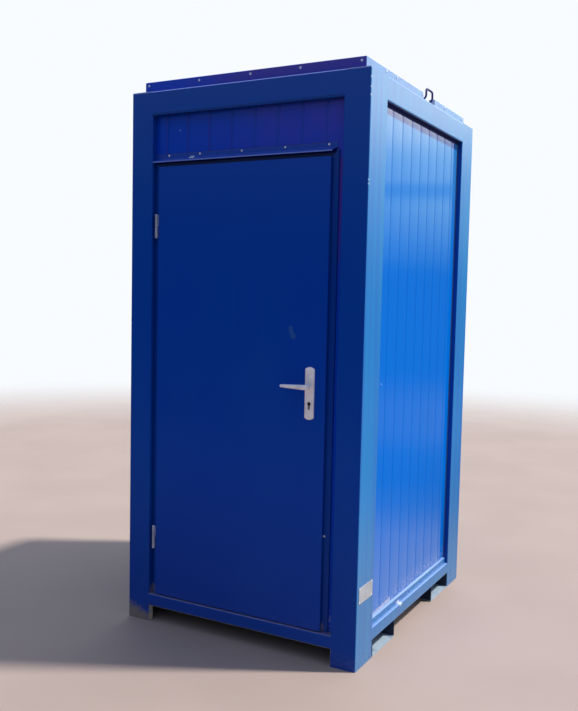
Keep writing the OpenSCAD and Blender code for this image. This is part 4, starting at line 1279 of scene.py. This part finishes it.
def sky_of(world, stage):
    """A plain pale backdrop for the camera, and a sky that lights the cabin, brighter towards its azimuth.

    The light from below the floor's edge comes from this sky too, as the floor shows in no reflection."""
    world.use_nodes = True
    tree = world.node_tree
    tree.nodes.clear()
    toward = node(tree, "TexCoord", out="Generated")
    rise = node(tree, "SeparateXYZ", {0: toward}, 2)
    height = node(tree, "MapRange", {0: rise, 1: -1.0, 2: 1.0})
    bright_side = (math.cos(stage.sky_azimuth), math.sin(stage.sky_azimuth), 0.0)
    facing = node(tree, "VectorMath", {0: toward, 1: bright_side}, 1, operation="DOT_PRODUCT")
    sunny = node(tree, "MapRange", {0: facing, 1: 0.0, 2: 0.75}, **SOFT)
    sides = {0: sunny, 1: sky_ramp(tree, height, SHADY_SKY), 2: sky_ramp(tree, height, SUNNY_SKY)}
    light = node(tree, "MixShader", sides)
    plain = node(tree, "Background", {0: BACKDROP, 1: 1.0})
    seen = node(tree, "LightPath", out="Is Camera Ray")
    node(tree, "OutputWorld", {0: node(tree, "MixShader", {0: seen, 1: light, 2: plain})})


def floor_finish(colour):
    """Plain pale floor: a faint even grain, fading out towards the backdrop."""
    material, add, where = new_finish("plain floor")[:3]
    cloud = add("MapRange", {0: patches(add, where, FLOOR_CLOUD, 4.0), 1: 0.3, 2: 0.7, 3: 0.93}, **SOFT)
    shade = add("VectorMath", {0: colour[:3], 3: cloud}, operation="SCALE")
    shader = add("BsdfPrincipled", {"Base Color": shade, "Roughness": 0.9})
    away = add("VectorMath", {0: where}, 1, operation="LENGTH")
    gone = add("MapRange", {0: away, 1: FLOOR_FADE[0], 2: FLOOR_FADE[1]}, **SOFT)
    both = add("MixShader", {0: gone, 1: shader, 2: add("BsdfTransparent")})
    add("OutputMaterial", {0: both})
    return material


def floor_disc(tone):
    """A round floor: rings at FLOOR_REACH * s^1.5 from its middle, for s = 0 to 1."""
    reach = np.linspace(0.0, 1.0, 25)[:, None] ** 1.5 * FLOOR_REACH
    angle = np.linspace(0.0, TURN, 96, endpoint=False)
    disc = np.stack([reach * np.cos(angle), reach * np.sin(angle), 0.0 * reach * angle], axis=-1)
    points, quads = surface(disc)
    mesh = bpy.data.meshes.new("floor")
    mesh.from_pydata(points.tolist(), [], quads.tolist())
    mesh.materials.append(floor_finish(tone))
    floor = bpy.data.objects.new("floor", mesh)
    floor.visible_glossy = False
    return floor


def key_light(stage):
    """The distant soft light, turned so that it shines from its azimuth and elevation."""
    lamp = bpy.data.lights.new("key_light", "SUN")
    lamp.energy = stage.sun_strength
    lamp.angle = stage.sun_softness
    lamp.color = KEY_TINT
    level = math.cos(stage.sun_elevation)
    from_sun = Vector((
        -level * math.cos(stage.sun_azimuth), -level * math.sin(stage.sun_azimuth),
        -math.sin(stage.sun_elevation)))
    key = bpy.data.objects.new("key_light", lamp)
    key.rotation_euler = from_sun.to_track_quat("-Z", "Y").to_euler()
    return key


def camera_frame(stage):
    """The camera's matrix: it looks along its forward line, turned by the roll round that line."""
    yaw, pitch, roll = stage.camera_yaw, stage.camera_pitch, stage.camera_roll
    forward = np.array([-math.sin(yaw) * math.cos(pitch), math.cos(yaw) * math.cos(pitch), math.sin(pitch)])
    level = np.array([math.cos(yaw), math.sin(yaw), 0.0])
    rise = np.cross(level, forward)
    right = math.cos(roll) * level + math.sin(roll) * rise
    up = math.cos(roll) * rise - math.sin(roll) * level
    whole = np.eye(4)
    whole[:3, :3] = np.stack([right, up, -forward], axis=-1)
    whole[:3, 3] = stage.camera_place
    return Matrix(whole.tolist())


def camera_of(stage):
    """The camera at its place, with its lens."""
    lens = bpy.data.cameras.new("camera")
    lens.sensor_width = SENSOR_MM
    lens.lens = stage.lens
    lens.clip_end = 100.0
    camera = bpy.data.objects.new("camera", lens)
    camera.matrix_world = camera_frame(stage)
    return camera


class CABIN_OT_set_stage(bpy.types.Operator):
    """Sets the plain floor, the soft light and the camera."""

    bl_idname = "cabin.set_stage"
    bl_label = "Set the stage"

    def execute(self, context):
        scene, stage = context.scene, context.scene.cabin_stage
        floor = floor_disc(tuple(stage.floor_tone))
        camera = camera_of(stage)
        for made in (floor, key_light(stage), camera):
            scene.collection.objects.link(made)
        scene.camera = camera
        scene.world = bpy.data.worlds.new("soft studio")
        sky_of(scene.world, stage)
        scene.view_settings.view_transform = "Standard"
        return {"FINISHED"}


STEPS = [
    CABIN_OT_paint_frame, CABIN_OT_paint_skin, CABIN_OT_paint_door, CABIN_OT_finish_metalware,
    CABIN_OT_finish_inside, CABIN_OT_add_rivets, CABIN_OT_shape_panels, CABIN_OT_add_sealant,
    CABIN_OT_add_welds, CABIN_OT_add_ribs, CABIN_OT_add_levers, CABIN_OT_add_lock_parts,
    CABIN_OT_add_hinge_caps, CABIN_OT_add_seals, CABIN_OT_set_stage]


class CABIN_PT_steps(bpy.types.Panel):
    """Lists the steps that dress the cabin."""

    bl_idname = "CABIN_PT_steps"
    bl_label = "Site cabin"
    bl_space_type = "VIEW_3D"
    bl_region_type = "UI"
    bl_category = "Cabin"

    def draw(self, context):
        for operator in STEPS:
            self.layout.operator(operator.bl_idname)


GROUPS = {"cabin_paints": CabinPaints, "cabin_fittings": CabinFittings, "cabin_stage": CabinStage}


def register():
    """Registers the groups of values, the steps and the panel."""
    for name, group in GROUPS.items():
        bpy.utils.register_class(group)
        setattr(bpy.types.Scene, name, bpy.props.PointerProperty(type=group))
    for item in [*STEPS, CABIN_PT_steps]:
        bpy.utils.register_class(item)


def unregister():
    """Takes back what register did, in the opposite order."""
    for item in [CABIN_PT_steps, *reversed(STEPS)]:
        bpy.utils.unregister_class(item)
    for name, group in GROUPS.items():
        delattr(bpy.types.Scene, name)
        bpy.utils.unregister_class(group)


def main():
    register()
    for operator in STEPS:
        getattr(bpy.ops.cabin, operator.bl_idname.split(".")[1])()


if __name__ == "__main__":
    main()
